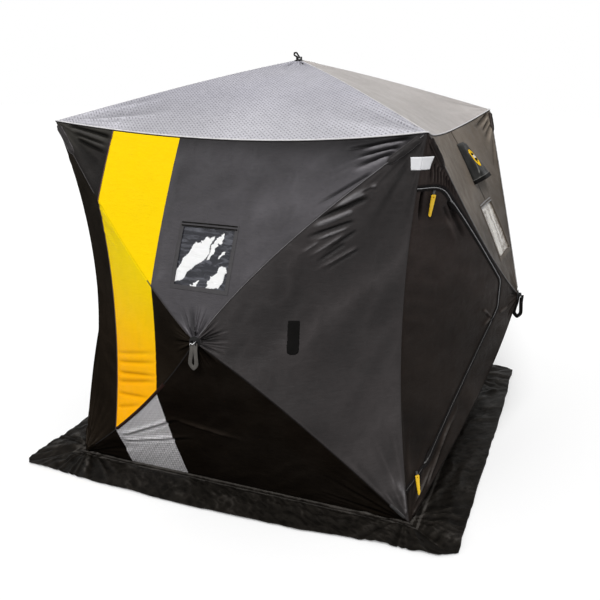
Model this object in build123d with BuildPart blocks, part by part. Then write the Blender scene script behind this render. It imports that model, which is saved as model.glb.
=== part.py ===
"""A pop-up hub shelter for ice fishing, in millimetres.

Four square walls and a low roof of insulated cloth are held out by five X-shaped
frames of bowed rods. Each frame has a hub at its centre, which pushes the cloth out
into a shallow pyramid. The walls stand on a loose skirt that lies on the ice, and
one quarter of the +X wall is a zipped door that swings about the corner seam.

Frame: origin on the ice at the centre of the square, +Z up, the banded wall faces -Y
and the door wall faces +X.
"""

import os
from dataclasses import dataclass
from math import atan2, cos, sin

from build123d import *

# ---------------------------------------------------------------- driving dimensions
base_half = 900.0  # half the side of the square that the walls stand on
eave_inset = 10.0  # the upper corners stand this far in from the lower ones, each way
eave_half = base_half - eave_inset
eave_height = 1760.0  # upper corners above the ice
peak_height = 2040.0  # roof hub above the ice
hub_push = 320.0  # a wall hub stands this far out from the line between two corners
hub_reach = base_half + hub_push  # from the middle of the hut to a wall hub
hub_height = 880.0  # wall hub above the ice

rod_twist = 44.0  # sideways bow of a wall rod, the same way round on every rod
rod_twist_lead = 0.33  # how far that bow is drawn towards the hub
lower_rod_bow = 28.0  # outward bow of a wall's two lower rods
roof_rod_bow = 12.0  # upward bow of a roof rod
corner_sag = 130.0  # how far the upright corner seams are drawn in
eave_sag_in = 77.0  # how far the middle of an eave is drawn in
eave_sag_down = 65.0  # and how far it is drawn down

cloth = 3.0  # insulated cloth
trim = 1.5  # webbing and hems sewn on the cloth
lie = 0.3  # gap between a piece and the cloth that it lies on
seam = 0.4  # gap between two panels along a seam

skirt_width = 222.0
skirt_tuck = 20.0  # the skirt runs this far in under the walls

rod_radius = 5.5
rod_gap = 4.5  # between a rod and the cloth
rod_tip = 0.955  # where a rod ends, as a share of its ridge
boot_wall = 1.8
boot_start = 0.925  # where the sleeve over a rod's tip starts, as a share of the ridge
boot_end = 0.978  # and where it ends at the ice

boss_radius = 7.5
plate_radius = 40.0
plate_thickness = 14.0
plate_depth = 21.0  # from the hub's tip to the front of its plate
socket_length = 34.0
socket_root = 16.0  # how far a socket runs back from its rod's end, into the plate
socket_wall = 3.0
rod_start = 0.034  # where a rod starts, inside its socket, as a share of its ridge
rod_fit = 0.3
hub_edge = 3.0
cap_radius = 26.0
cap_thickness = 4.0
ear_thickness = 4.0
ear_height = 16.0
pin_radius = 2.5
strap_width = 20.0
strap_thickness = 2.0
strap_length = 118.0
strap_bulge = 9.0  # half the width of a strap's loop at its lower end
roof_strap_length = 52.0

band_left = -595.0
band_right = -258.0
roof_seam = -600.0

window_width = 250.0
window_low = 1100.0
window_high = 1335.0
window_corner = 14.0
window_hem = 20.0
window_overlap = 15.0
vinyl = 1.0

vent_side = 70.0  # a vent's centre, beside the middle of its wall
vent_low = 1440.0
vent_high = 1630.0
vent_low_width = 240.0
vent_high_width = 150.0
vent_low_height = 56.0
vent_high_height = 14.0
vent_shell = 2.5
vent_rim = 26.0  # from the hood's edge to the hole behind it
vent_mesh = 1.0
vent_loop_length = 104.0
vent_loop_width = 52.0
vent_loop_band = 9.0
vent_loop_thickness = 4.0
vent_sink = 12.0  # the hood is made this much deeper, then cut to the cloth

door_top = 1531.0
door_gap = 5.0
door_inset = 91.0  # from the straight line of the upper ridge to the zip, measured level
door_nose = 225.0  # from the wall's middle line to the nose of the door
door_nose_low = 872.0  # height of the lower corner of the nose
door_heel = (-735.0, 248.0)  # where the zip turns in along the ice
door_heel_fall = 0.72  # how steeply it runs down from there
door_nose_round = 60.0
door_top_round = 110.0
door_sewn_gap = 0.8  # between the door's cloth and the corner seam that it swings about
zip_stop = 9.0  # the zip ends this far from that seam
zip_width = 9.0
top_slider_at = (-780.0, 1512.0)
foot_slider_at = (-806.0, 212.0)
zip_height = 2.4
slider_length = 18.0
slider_width = 12.0
slider_height = 6.0
pull_length = 96.0
pull_width = 22.0
pull_tip_width = 11.0
pull_thickness = 5.0

patch_low = 1610.0
patch_high = 1663.0
patch_reach = 62.0
strip_centre = (394.0, 901.0)
strip_width = 46.0
strip_length = 150.0

pin_rise = cap_thickness + strap_thickness + pin_radius + 4 * lie  # above the hub's tip
FAR = 3000.0  # longer than anything here, for cutting right through

# ------------------------------------------------------------------- cloth geometry
OUT = Vector(0, -1, 0)  # a wall is modelled facing -Y and then turned into place
UP = Vector(0, 0, 1)
wall_hub = Vector(0, -hub_reach, hub_height)
roof_hub = Vector(0, 0, peak_height)
high_left = Vector(-eave_half, -eave_half, eave_height)
high_right = Vector(eave_half, -eave_half, eave_height)
high_far_left = Vector(-eave_half, eave_half, eave_height)
high_far_right = Vector(eave_half, eave_half, eave_height)
low_left = Vector(-base_half, -base_half, cloth)
low_right = Vector(base_half, -base_half, cloth)


@dataclass
class Ridge:
    """The line along a rod, from its hub to its corner, where two panels are sewn together."""

    hub: Vector
    corner: Vector
    outward: Vector
    bow: float
    twist: float

    def at(self, share):
        chord = self.corner - self.hub
        side = self.outward.cross(chord).normalized()
        hump = 4 * share * (1 - share) * (1 + rod_twist_lead * (1 - 2 * share))
        return self.hub + chord * share + (self.outward * self.bow + side * self.twist) * hump


@dataclass
class Panel:
    """A triangle of cloth between two ridges, whose far edge is drawn in between its corners."""

    first: Ridge
    second: Ridge
    sag: Vector
    sag_way: Vector

    def inward(self):
        """The flat triangle's normal, towards the inside of the hut."""
        normal = (self.first.corner - self.first.hub).cross(self.second.corner - self.second.hub)
        normal = normal.normalized()
        return normal if normal.dot(self.sag_way) > 0 else normal * -1

    def across(self, share):
        """The normal of the flat section that holds both ridge points and the sag."""
        chord = self.second.at(share) - self.first.at(share)
        return chord.cross(self.sag_way).normalized()

    def middle_step(self):
        """One millimetre of cloth thickness, measured along the sag."""
        return self.sag_way * (1 / self.sag_way.dot(self.inward()))


def mitre_step(panel, neighbour, share):
    """One millimetre of cloth thickness, measured along the mitre where two panels meet."""
    way = panel.across(share).cross(neighbour.across(share)).normalized()
    if way.dot(panel.inward()) < 0:
        way = way * -1
    fall = (way.dot(panel.inward()) + way.dot(neighbour.inward())) / 2
    return way * (1 / fall)


ridge_high_left = Ridge(wall_hub, high_left, OUT, 0, rod_twist)
ridge_high_right = Ridge(wall_hub, high_right, OUT, 0, rod_twist)
ridge_low_left = Ridge(wall_hub, low_left, OUT, lower_rod_bow, rod_twist)
ridge_low_right = Ridge(wall_hub, low_right, OUT, lower_rod_bow, rod_twist)
roof_near_left = Ridge(roof_hub, high_left, UP, roof_rod_bow, 0)
roof_near_right = Ridge(roof_hub, high_right, UP, roof_rod_bow, 0)
roof_far_left = Ridge(roof_hub, high_far_left, UP, roof_rod_bow, 0)
roof_far_right = Ridge(roof_hub, high_far_right, UP, roof_rod_bow, 0)

eave_sag = Vector(0, eave_sag_in, -eave_sag_down)
left_sag = Vector(1, 1, 0).normalized() * corner_sag
right_sag = Vector(-1, 1, 0).normalized() * corner_sag
side_eave_sag = Vector(eave_sag_in, 0, -eave_sag_down)
upper = Panel(ridge_high_left, ridge_high_right, eave_sag, eave_sag.normalized())
left = Panel(ridge_high_left, ridge_low_left, left_sag, left_sag.normalized())
right = Panel(ridge_high_right, ridge_low_right, right_sag, right_sag.normalized())
lower = Panel(ridge_low_left, ridge_low_right, Vector(0, 0, 0), Vector(0, 1, 0))
roof = Panel(roof_near_left, roof_near_right, eave_sag, eave_sag.normalized())
roof_at_left = Panel(roof_near_left, roof_far_left, side_eave_sag, side_eave_sag.normalized())
other_side_sag = Vector(-eave_sag_in, 0, -eave_sag_down)
roof_at_right = Panel(
    roof_near_right, roof_far_right, other_side_sag, other_side_sag.normalized()
)
NEIGHBOURS = {
    "upper": (upper, left, right),
    "left": (left, upper, lower),
    "right": (right, upper, lower),
    "lower": (lower, left, right),
    "roof": (roof, roof_at_left, roof_at_right),
}
STATIONS = (0.05, 0.12, 0.25, 0.45, 0.65, 0.84)
CLOTH_START = 0.013  # a panel starts this share of the way out, at the hub's boss


def cloth_point(name, share, across):
    """A point on a panel's outer face: share of the way out, across from the first ridge."""
    panel = NEIGHBOURS[name][0]
    chord = panel.second.at(share) - panel.first.at(share)
    hollow = panel.sag * (4 * across * (1 - across) * share**2)
    return panel.first.at(share) + chord * across + hollow


def cloth_plane(name, share, across):
    """A plane on a panel's outer face, its Z outwards and its Y as near up as it can be."""
    here = cloth_point(name, share, across)
    step = 0.01
    out_way = cloth_point(name, share + step, across) - here
    side_way = cloth_point(name, share, across + step) - here
    normal = out_way.cross(side_way).normalized()
    if normal.dot(NEIGHBOURS[name][0].inward()) > 0:
        normal = normal * -1
    return Plane(origin=here, x_dir=UP.cross(normal), z_dir=normal)


def sheet(name, lift=0.0, thickness=cloth, end=1.0, gap=seam / 2, start_share=CLOTH_START):
    """A sheet that follows one panel. Its outer face lies lift above the cloth's outer face."""
    panel, at_first, at_second = NEIGHBOURS[name]
    between = [share for share in STATIONS if share > start_share]
    with BuildPart() as piece:
        for share in (start_share, *between, end):
            step_first = mitre_step(panel, at_first, share)
            step_second = mitre_step(panel, at_second, share)
            step_middle = panel.middle_step()
            chord = (panel.second.at(share) - panel.first.at(share)).normalized()
            start = panel.first.at(share) + chord * gap
            finish = panel.second.at(share) - chord * gap
            pull = (start + finish) / 2 + panel.sag * (2 * share**2)
            flat = Plane(origin=start, x_dir=chord, z_dir=panel.across(share))
            rim = [
                flat.to_local_coords(point + step * depth)
                for point, step, depth in (
                    (start, step_first, -lift),
                    (pull, step_middle, -lift),
                    (finish, step_second, -lift),
                    (finish, step_second, thickness - lift),
                    (pull, step_middle, thickness - lift),
                    (start, step_first, thickness - lift),
                )
            ]
            with BuildSketch(flat):
                with BuildLine():
                    Bezier(rim[0], rim[1], rim[2])
                    Line(rim[2], rim[3])
                    Bezier(rim[3], rim[4], rim[5])
                    Line(rim[5], rim[0])
                make_face()
        loft()
    return piece.part


def turned(shape, quarters):
    """A wall's piece, turned from the -Y side to the wall that many quarter turns on."""
    with BuildPart() as placed:
        add(shape, rotation=(0, 0, 90 * quarters))
    return placed.part


def joined(*shapes):
    """Several separate solids kept as one part."""
    with BuildPart() as group:
        for shape in shapes:
            add(shape)
    return group.part


WALL_FACE = Plane(origin=(0, 0, 0), x_dir=(1, 0, 0), z_dir=(0, -1, 0))


def kept(shape, outline):
    """The part of a wall's piece that lies behind a flat outline."""
    with BuildPart() as piece:
        add(shape)
        with BuildSketch(WALL_FACE):
            add(outline)
        extrude(amount=FAR, mode=Mode.INTERSECT)
    return piece.part


def opened(shape, outline):
    """A wall's piece with a hole of that outline through it."""
    with BuildPart() as piece:
        add(shape)
        with BuildSketch(WALL_FACE):
            add(outline)
        extrude(amount=FAR, mode=Mode.SUBTRACT)
    return piece.part


def upright_strip(low, high):
    """A tall rectangle between two distances from a wall's middle line."""
    with BuildSketch() as outline:
        with Locations(((low + high) / 2, 0)):
            Rectangle(high - low, 2 * FAR)
    return outline.sketch


# ------------------------------------------------------------------------- openings
def window_outline(grow):
    with BuildSketch() as outline:
        with Locations((0, (window_low + window_high) / 2)):
            Rectangle(window_width + 2 * grow, window_high - window_low + 2 * grow)
        fillet(outline.vertices(), window_corner + max(grow, 0) / 2)
    return outline.sketch


def vent_outline(shrink):
    with BuildSketch() as outline:
        with BuildLine():
            Polyline(
                (vent_side - vent_low_width / 2 + shrink, vent_low + shrink),
                (vent_side + vent_low_width / 2 - shrink, vent_low + shrink),
                (vent_side + vent_high_width / 2 - shrink, vent_high - shrink),
                (vent_side - vent_high_width / 2 + shrink, vent_high - shrink),
                close=True,
            )
        make_face()
    return outline.sketch


def door_outline(grow):
    """The zip's line round the door: level at the top, down the ridge and round at the nose."""
    past_corner = -base_half - 100
    steep = (eave_height - hub_height) / eave_half
    nose_high = hub_height + steep * (door_nose - door_inset)
    top_inner = -door_inset - (door_top - hub_height) / steep
    bottom = door_heel[1] + door_heel_fall * (past_corner - door_heel[0])
    with BuildSketch() as outline:
        with BuildLine():
            Polyline(
                (past_corner, door_top),
                (top_inner, door_top),
                (-door_nose, nose_high),
                (-door_nose, door_nose_low),
                door_heel,
                (past_corner, bottom),
                close=True,
            )
        make_face()
        fillet(outline.vertices().sort_by(Axis.X)[-2:], door_nose_round)
        at_top = outline.vertices().filter_by(lambda v: v.X > past_corner + 1).sort_by(Axis.Y)
        fillet(at_top[-1], door_top_round)
        if grow:
            offset(amount=grow)
    return outline.sketch


# --------------------------------------------------------------------- cloth panels
upper_cloth = sheet("upper")
left_cloth = sheet("left")
right_cloth = sheet("right")
lower_cloth = sheet("lower")
roof_cloth = sheet("roof")

band_strip = upright_strip(band_left + seam / 2, band_right - seam / 2)
left_of_band = upright_strip(-FAR, band_left - seam / 2)
right_of_band = upright_strip(band_right + seam / 2, FAR)
plain_upper = opened(upper_cloth, window_outline(0))
vented_upper = opened(plain_upper, vent_outline(vent_rim))

pieces = {}
pieces["roof_front_panel"] = joined(
    kept(roof_cloth, upright_strip(-FAR, roof_seam - seam / 2)),
    kept(roof_cloth, upright_strip(roof_seam + seam / 2, FAR)),
)
pieces["roof_right_panel"] = turned(roof_cloth, 1)
pieces["roof_back_panel"] = turned(pieces["roof_front_panel"], 2)
pieces["roof_left_panel"] = turned(roof_cloth, 3)

for name, whole in (("upper", plain_upper), ("left", left_cloth), ("lower", lower_cloth)):
    pieces[f"front_{name}_panel"] = joined(kept(whole, left_of_band), kept(whole, right_of_band))
pieces["front_right_panel"] = right_cloth
pieces["yellow_band_upper"] = kept(upper_cloth, band_strip)
pieces["yellow_band_side"] = kept(left_cloth, band_strip)
pieces["silver_band_foot"] = kept(lower_cloth, band_strip)

for quarters, wall in ((2, "back"), (3, "left")):
    whole = vented_upper if wall == "left" else plain_upper
    pieces[f"{wall}_upper_panel"] = turned(whole, quarters)
    pieces[f"{wall}_left_panel"] = turned(left_cloth, quarters)
    pieces[f"{wall}_right_panel"] = turned(right_cloth, quarters)
    pieces[f"{wall}_lower_panel"] = turned(lower_cloth, quarters)

pieces["door_wall_upper_panel"] = turned(vented_upper, 1)
pieces["door_wall_right_panel"] = turned(right_cloth, 1)
pieces["door_wall_lower_panel"] = turned(lower_cloth, 1)
pieces["door_surround"] = turned(opened(left_cloth, door_outline(door_gap)), 1)

# ----------------------------------------------------------------------------- door
hem_end = 1 - lie / hub_reach
door_end = 1 - door_sewn_gap / hub_reach
zip_end = 1 - zip_stop / hub_reach
door_cloth = kept(sheet("left", end=door_end), door_outline(0))
pieces["door_panel"] = turned(door_cloth, 1)

zip_sheet = sheet("left", lift=lie + zip_height, thickness=zip_height, end=zip_end)
door_zip = opened(kept(zip_sheet, door_outline(0)), door_outline(-zip_width))
wall_zip = opened(
    kept(zip_sheet, door_outline(door_gap + zip_width)), door_outline(door_gap)
)
pieces["door_zip_tape"] = turned(door_zip, 1)
pieces["wall_zip_tape"] = turned(wall_zip, 1)


def zip_slider(plane):
    with BuildPart(plane.offset(zip_height + 3 * lie)) as slider:
        Box(
            slider_width,
            slider_length,
            slider_height,
            align=(Align.CENTER, Align.CENTER, Align.MIN),
        )
        far_face = slider.faces().sort_by(Axis(plane.origin, plane.z_dir))[-1]
        fillet(far_face.edges(), slider_height / 3)
    return slider.part


def zip_pull(plane):
    """A long tapered tab that hangs from its slider, with a hole at its upper end."""
    level = plane.offset(zip_height + slider_height / 2 + 3 * lie)
    top = -slider_length / 2 - lie
    with BuildPart() as pull:
        with BuildSketch(level):
            with BuildLine():
                Polyline(
                    (-pull_width / 2, top),
                    (pull_width / 2, top),
                    (pull_tip_width / 2, top - pull_length),
                    (-pull_tip_width / 2, top - pull_length),
                    close=True,
                )
            make_face()
            fillet(vertices(), pull_tip_width / 2.2)
            with Locations((0, top - pull_width / 2)):
                Circle(pull_width / 6, mode=Mode.SUBTRACT)
        extrude(amount=pull_thickness)
    return pull.part


def share_and_across(name, side, height):
    """Where a point of the wall's flat view falls on a panel, by halving the distance."""
    share, across = 0.5, 0.5
    for _ in range(40):
        here = cloth_point(name, share, across)
        step = 0.001
        by_share = (cloth_point(name, share + step, across) - here) * (1 / step)
        by_across = (cloth_point(name, share, across + step) - here) * (1 / step)
        miss_x = side - here.X
        miss_z = height - here.Z
        scale = by_share.X * by_across.Z - by_across.X * by_share.Z
        share += 0.7 * (miss_x * by_across.Z - by_across.X * miss_z) / scale
        across += 0.7 * (by_share.X * miss_z - miss_x * by_share.Z) / scale
    return share, across


top_slider = cloth_plane("left", *share_and_across("left", *top_slider_at))
foot_slider = cloth_plane("left", *share_and_across("left", *foot_slider_at))
pieces["zip_sliders"] = turned(joined(zip_slider(top_slider), zip_slider(foot_slider)), 1)
pieces["zip_pulls"] = turned(joined(zip_pull(top_slider), zip_pull(foot_slider)), 1)


# ---------------------------------------------------------------- windows and vents
def window_pane():
    return kept(sheet("upper", -cloth - lie, vinyl), window_outline(window_overlap))


def window_frame():
    hem = kept(sheet("upper", lie + trim, trim), window_outline(window_hem))
    return opened(hem, window_outline(0))


pieces["window_panes"] = joined(*(turned(window_pane(), side) for side in range(4)))
pieces["window_frames"] = joined(*(turned(window_frame(), side) for side in range(4)))


def hood_block(seat, half, shell):
    """A hood's tapering outside, or the hollow inside walls of that thickness."""
    with BuildPart() as block:
        for end in (-half - shell, half - shell):
            share = (end + half) / (2 * half)
            width = vent_low_width + (vent_high_width - vent_low_width) * share - 2 * shell
            height = vent_low_height + (vent_high_height - vent_low_height) * share - shell
            section = Plane(
                origin=seat.origin + seat.y_dir * end, x_dir=seat.x_dir, z_dir=seat.y_dir * -1
            )
            with BuildSketch(section):
                with Locations((0, (height - vent_sink) / 2)):
                    Rectangle(width, height + vent_sink)
        loft()
    return block.part


def vent_hood():
    """A cowl like a scoop: shut at the top, held open at the bottom and against the cloth."""
    middle = (vent_low + vent_high) / 2
    seat = cloth_plane("upper", *share_and_across("upper", vent_side, middle))
    half = (vent_high - vent_low) / 2 / seat.y_dir.Z
    cloth_and_under = sheet("upper", lie, vent_sink * 2, start_share=0.1)
    outside = hood_block(seat, half, 0)
    hollow = hood_block(seat, half, vent_shell)
    with BuildPart() as hood:
        add(outside)
        add(hollow, mode=Mode.SUBTRACT)
        add(cloth_and_under, mode=Mode.SUBTRACT)
    return hood.solids().sort_by(Axis(seat.origin, seat.z_dir))[-1]


def vent_handle():
    """The oval webbing loop on a hood's face."""
    middle = (vent_low + vent_high) / 2
    seat = cloth_plane("upper", *share_and_across("upper", vent_side, middle))
    length = (vent_high - vent_low) / seat.y_dir.Z
    lean = atan2(vent_low_height - vent_high_height, length)
    face_y = (seat.y_dir * cos(lean) + seat.z_dir * -sin(lean)).normalized()
    rise = (vent_low_height + vent_high_height) / 2
    centre = seat.origin + seat.z_dir * (rise + lie)
    face = Plane(origin=centre, x_dir=seat.x_dir, z_dir=seat.x_dir.cross(face_y))
    with BuildPart() as loop:
        with BuildSketch(face):
            SlotOverall(vent_loop_length, vent_loop_width, rotation=90)
            offset(amount=-vent_loop_band, mode=Mode.SUBTRACT)
        extrude(amount=vent_loop_thickness)
    return loop.part


vent_walls = (1, 3)
pieces["vent_hoods"] = joined(*(turned(vent_hood(), side) for side in vent_walls))
pieces["vent_loops"] = joined(*(turned(vent_handle(), side) for side in vent_walls))
mesh = kept(sheet("upper", -cloth - lie, vent_mesh), vent_outline(vent_rim - window_overlap))
pieces["vent_screens"] = joined(*(turned(mesh, side) for side in vent_walls))


# ------------------------------------------------------------------- hubs and rods
def below_ridge(edges, share):
    """The middle of a rod, squarely under the edges of the panels that meet above it."""
    outward = [cloth_plane(name, share, across).z_dir for name, across in edges]
    if len(outward) == 1:
        outward.append(Vector(outward[0].Y, outward[0].X, outward[0].Z))
    inward = (outward[0] + outward[1]).normalized() * -1
    name, across = edges[0]
    return cloth_point(name, share, across) + inward * (cloth + rod_gap + rod_radius)


def rod_line(edges, start, end):
    """The middle of a rod, as points between two shares of the way out."""
    return [below_ridge(edges, start + (end - start) * step / 4) for step in range(5)]


def rod(points, radius):
    with BuildPart() as piece:
        with BuildLine() as path:
            Spline(*points)
        with BuildSketch(Plane(origin=path.line @ 0, z_dir=path.line % 0)):
            Circle(radius)
        sweep()
    return piece.part


def sleeve(points, bore, wall):
    """A tube along a rod, from the first point to the last."""
    with BuildPart() as piece:
        with BuildLine() as path:
            Spline(*points)
        with BuildSketch(Plane(origin=path.line @ 0, z_dir=path.line % 0)):
            Circle(bore + wall)
            Circle(bore, mode=Mode.SUBTRACT)
        sweep()
    return piece.part


wall_rods = (
    (("left", 0), ("upper", 0)),
    (("right", 0), ("upper", 1)),
    (("left", 1), ("lower", 0)),
    (("right", 1), ("lower", 1)),
)
roof_rod = (("roof", 0),)  # the panel beyond is the same one, mirrored


def lean(ridge):
    """How far a ridge falls away from its hub's face, for each millimetre out from the hub."""
    leg = ridge.at(CLOTH_START * 2) - ridge.hub
    fall = -leg.dot(ridge.outward)
    return fall / (leg + ridge.outward * fall).length


def around(point):
    """The same point in each of the roof's four quarters."""
    return [point.rotate(Axis.Z, 90 * quarter) for quarter in range(4)]


wall_lines = [rod_line(edges, rod_start, rod_tip) for edges in wall_rods]
roof_lines = list(zip(*(around(point) for point in rod_line(roof_rod, rod_start, rod_tip))))
socket_end = rod_start * 1.3
wall_sockets = [rod_line(edges, rod_start, socket_end) for edges in wall_rods]
roof_sockets = list(zip(*(around(point) for point in rod_line(roof_rod, rod_start, socket_end))))
wall_lean = min(lean(ridge_low_left), lean(ridge_high_left))
roof_lean = lean(roof_near_left)


def hub(tip, out, slope, lines):
    """The moulded hub behind the cloth: a round plate, a boss through it and a socket a rod."""
    with BuildPart() as body:
        with BuildSketch(Plane(origin=tip - out * plate_depth, z_dir=out * -1)):
            Circle(plate_radius)
        extrude(amount=plate_thickness)
        fillet(body.edges(), hub_edge)
        with BuildSketch(Plane(origin=tip - out * (plate_depth + 1), z_dir=out)):
            Circle(boss_radius)
        extrude(amount=plate_depth + 1 - boss_radius * slope)
        for line in lines:
            way = (line[1] - line[0]).normalized()
            with BuildSketch(Plane(origin=line[0] - way * socket_root, z_dir=way)):
                Circle(rod_radius + rod_fit + socket_wall)
            extrude(amount=socket_root + socket_length)
        for line in lines:
            way = (line[1] - line[0]).normalized()
            with BuildSketch(Plane(origin=line[0] - way * lie, z_dir=way)):
                Circle(rod_radius + rod_fit)
            extrude(amount=socket_length + 2 * lie, mode=Mode.SUBTRACT)
    return body.part


def side_way(out):
    """The level direction across a hub's face."""
    return UP.cross(out) if abs(out.Z) < 0.5 else Vector(1, 0, 0)


def hub_cap(tip, out, slope):
    """The shallow cone over the cloth, with two ears on it."""
    across = side_way(out)
    up = out.cross(across)
    fall = cap_radius * slope
    with BuildPart() as cap:
        with BuildSketch(Plane(origin=tip, x_dir=across, z_dir=across.cross(out))):
            with BuildLine():
                Polyline(
                    (0, lie),
                    (cap_radius, lie - fall),
                    (cap_radius, lie - fall + cap_thickness / 2),
                    (boss_radius, lie + cap_thickness),
                    (0, lie + cap_thickness),
                    close=True,
                )
            make_face()
        revolve(axis=Axis(tip, out))
        for hand in (-1, 1):
            inner = tip + across * (hand * (strap_width / 2 + lie)) + out * lie
            with BuildSketch(Plane(origin=inner, x_dir=up, z_dir=across)):
                with Locations((0, ear_height / 2)):
                    Rectangle(ear_height, ear_height)
                top = vertices().sort_by(Axis(tip, out))[-2:]
                fillet(top, ear_height / 3)
            extrude(amount=hand * ear_thickness)
    return cap.part


def loop_outline(reach, grow):
    """A long drop: narrow round the pin at the origin, wider at its free end."""
    narrow = pin_radius + lie + grow
    wide = strap_bulge + grow
    straight = reach * 0.35
    belly = reach * 0.7
    round_start = reach - strap_bulge
    with BuildSketch() as outline:
        with BuildLine():
            Line((-narrow, 0), (-narrow, straight))
            Bezier((-narrow, straight), (-narrow, belly), (-wide, belly), (-wide, round_start))
            ThreePointArc((-wide, round_start), (0, round_start + wide), (wide, round_start))
            Bezier((wide, round_start), (wide, belly), (narrow, belly), (narrow, straight))
            Line((narrow, straight), (narrow, 0))
            ThreePointArc((narrow, 0), (0, -narrow), (-narrow, 0))
        make_face()
    return outline.sketch


def strap(tip, out, hanging):
    """A webbing loop threaded between a cap's ears: round the pin and open at its end."""
    middle = tip + out * pin_rise
    reach = strap_length if hanging else roof_strap_length
    fall = UP * -1 if hanging else out
    across = side_way(out)
    level = fall.cross(across)
    with BuildPart() as loop:
        with BuildSketch(Plane(origin=middle, x_dir=level, z_dir=level.cross(fall))):
            add(loop_outline(reach, strap_thickness))
            add(loop_outline(reach, 0), mode=Mode.SUBTRACT)
        extrude(amount=strap_width / 2, both=True)
    return loop.part


def pin(tip, out):
    across = side_way(out)
    middle = tip + out * pin_rise
    half = strap_width / 2 + lie + ear_thickness
    with BuildPart() as rod_pin:
        with BuildSketch(Plane(origin=middle - across * half, z_dir=across)):
            Circle(pin_radius)
        extrude(amount=2 * half)
    return rod_pin.part


one_wall_rods = joined(*(rod(line, rod_radius) for line in wall_lines))
one_wall_hub = hub(wall_hub, OUT, wall_lean, wall_sockets)
pieces["wall_rods"] = joined(*(turned(one_wall_rods, side) for side in range(4)))
pieces["wall_hubs"] = joined(*(turned(one_wall_hub, side) for side in range(4)))
pieces["roof_rods"] = joined(*(rod(line, rod_radius) for line in roof_lines))
pieces["roof_hub"] = hub(roof_hub, UP, roof_lean, roof_sockets)
wall_cap = joined(hub_cap(wall_hub, OUT, wall_lean), pin(wall_hub, OUT))
roof_cap = joined(hub_cap(roof_hub, UP, roof_lean), pin(roof_hub, UP))
pieces["hub_caps"] = joined(*(turned(wall_cap, side) for side in range(4)), roof_cap)
wall_strap = strap(wall_hub, OUT, True)
pieces["hub_straps"] = joined(
    *(turned(wall_strap, side) for side in range(4)), strap(roof_hub, UP, False)
)

wall_boots = [rod_line(edges, boot_start, boot_end) for edges in wall_rods]
roof_boot = rod_line(roof_rod, boot_start, boot_end)
wall_sleeves = joined(*(sleeve(line, rod_radius + rod_fit, boot_wall) for line in wall_boots))
roof_sleeve = sleeve(roof_boot, rod_radius + rod_fit, boot_wall)
pieces["wall_rod_boots"] = joined(*(turned(wall_sleeves, side) for side in range(4)))
pieces["roof_rod_boots"] = joined(*(turned(roof_sleeve, side) for side in range(4)))


# ---------------------------------------------------------------- trim and the skirt
def rectangle_at(side, height, width, tall):
    with BuildSketch() as outline:
        with Locations((side, height)):
            Rectangle(width, tall)
    return outline.sketch


trim_sheets = {name: sheet(name, lie + trim, trim, end=hem_end) for name in ("left", "right")}
patch_middle = (patch_low + patch_high) / 2
for name, hand in (("left", -1), ("right", 1)):
    area = rectangle_at(hand * eave_half, patch_middle, 2 * patch_reach, patch_high - patch_low)
    pieces[f"patch_{name}"] = kept(trim_sheets[name], area)
near_patch = (pieces.pop("patch_right"), turned(pieces.pop("patch_left"), 1))
pieces["corner_patches"] = joined(*near_patch, *(turned(half, 2) for half in near_patch))
strip_area = rectangle_at(*strip_centre, strip_width, strip_length)
pieces["fastening_strip"] = kept(trim_sheets["right"], strip_area)


def skirt_strip():
    inner = base_half - skirt_tuck
    outer = base_half + skirt_width
    with BuildPart() as strip:
        with BuildSketch():
            with BuildLine():
                Polyline(
                    (-inner + seam, -inner),
                    (inner - seam, -inner),
                    (outer - seam, -outer),
                    (-outer + seam, -outer),
                    close=True,
                )
            make_face()
        extrude(amount=cloth - lie)
    return strip.part


pieces["snow_skirt"] = joined(*(turned(skirt_strip(), side) for side in range(4)))

os.makedirs("parts", exist_ok=True)
for name, part in pieces.items():
    part.label = name
    export_step(part, f"parts/{name}.step")
    print(name, [round(solid.volume) for solid in part.solids()])
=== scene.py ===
from contextlib import contextmanager
from dataclasses import dataclass
from math import cos, pi, radians, sin, sqrt

import bmesh
import bpy
import numpy as np
from mathutils import Matrix, Vector


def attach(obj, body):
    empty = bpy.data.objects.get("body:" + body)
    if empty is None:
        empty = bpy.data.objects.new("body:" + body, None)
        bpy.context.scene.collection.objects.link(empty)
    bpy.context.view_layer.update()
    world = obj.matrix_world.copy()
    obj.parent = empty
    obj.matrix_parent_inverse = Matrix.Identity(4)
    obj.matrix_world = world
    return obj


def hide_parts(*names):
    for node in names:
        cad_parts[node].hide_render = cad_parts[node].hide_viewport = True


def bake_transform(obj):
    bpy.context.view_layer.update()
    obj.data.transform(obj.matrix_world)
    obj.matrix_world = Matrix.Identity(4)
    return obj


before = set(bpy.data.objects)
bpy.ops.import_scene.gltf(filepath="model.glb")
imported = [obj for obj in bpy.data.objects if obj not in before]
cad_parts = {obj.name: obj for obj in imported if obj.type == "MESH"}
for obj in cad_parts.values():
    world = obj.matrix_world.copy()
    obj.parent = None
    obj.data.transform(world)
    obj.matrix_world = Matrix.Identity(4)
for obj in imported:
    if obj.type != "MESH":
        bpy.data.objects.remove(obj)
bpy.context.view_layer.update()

# Everything is in metres. A wall is made facing -Y and then turned round Z into place.
FRONT, DOOR_SIDE, BACK, FAR_SIDE = range(4)
WALL_NAMES = ("front", "door_wall", "back", "left")

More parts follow.
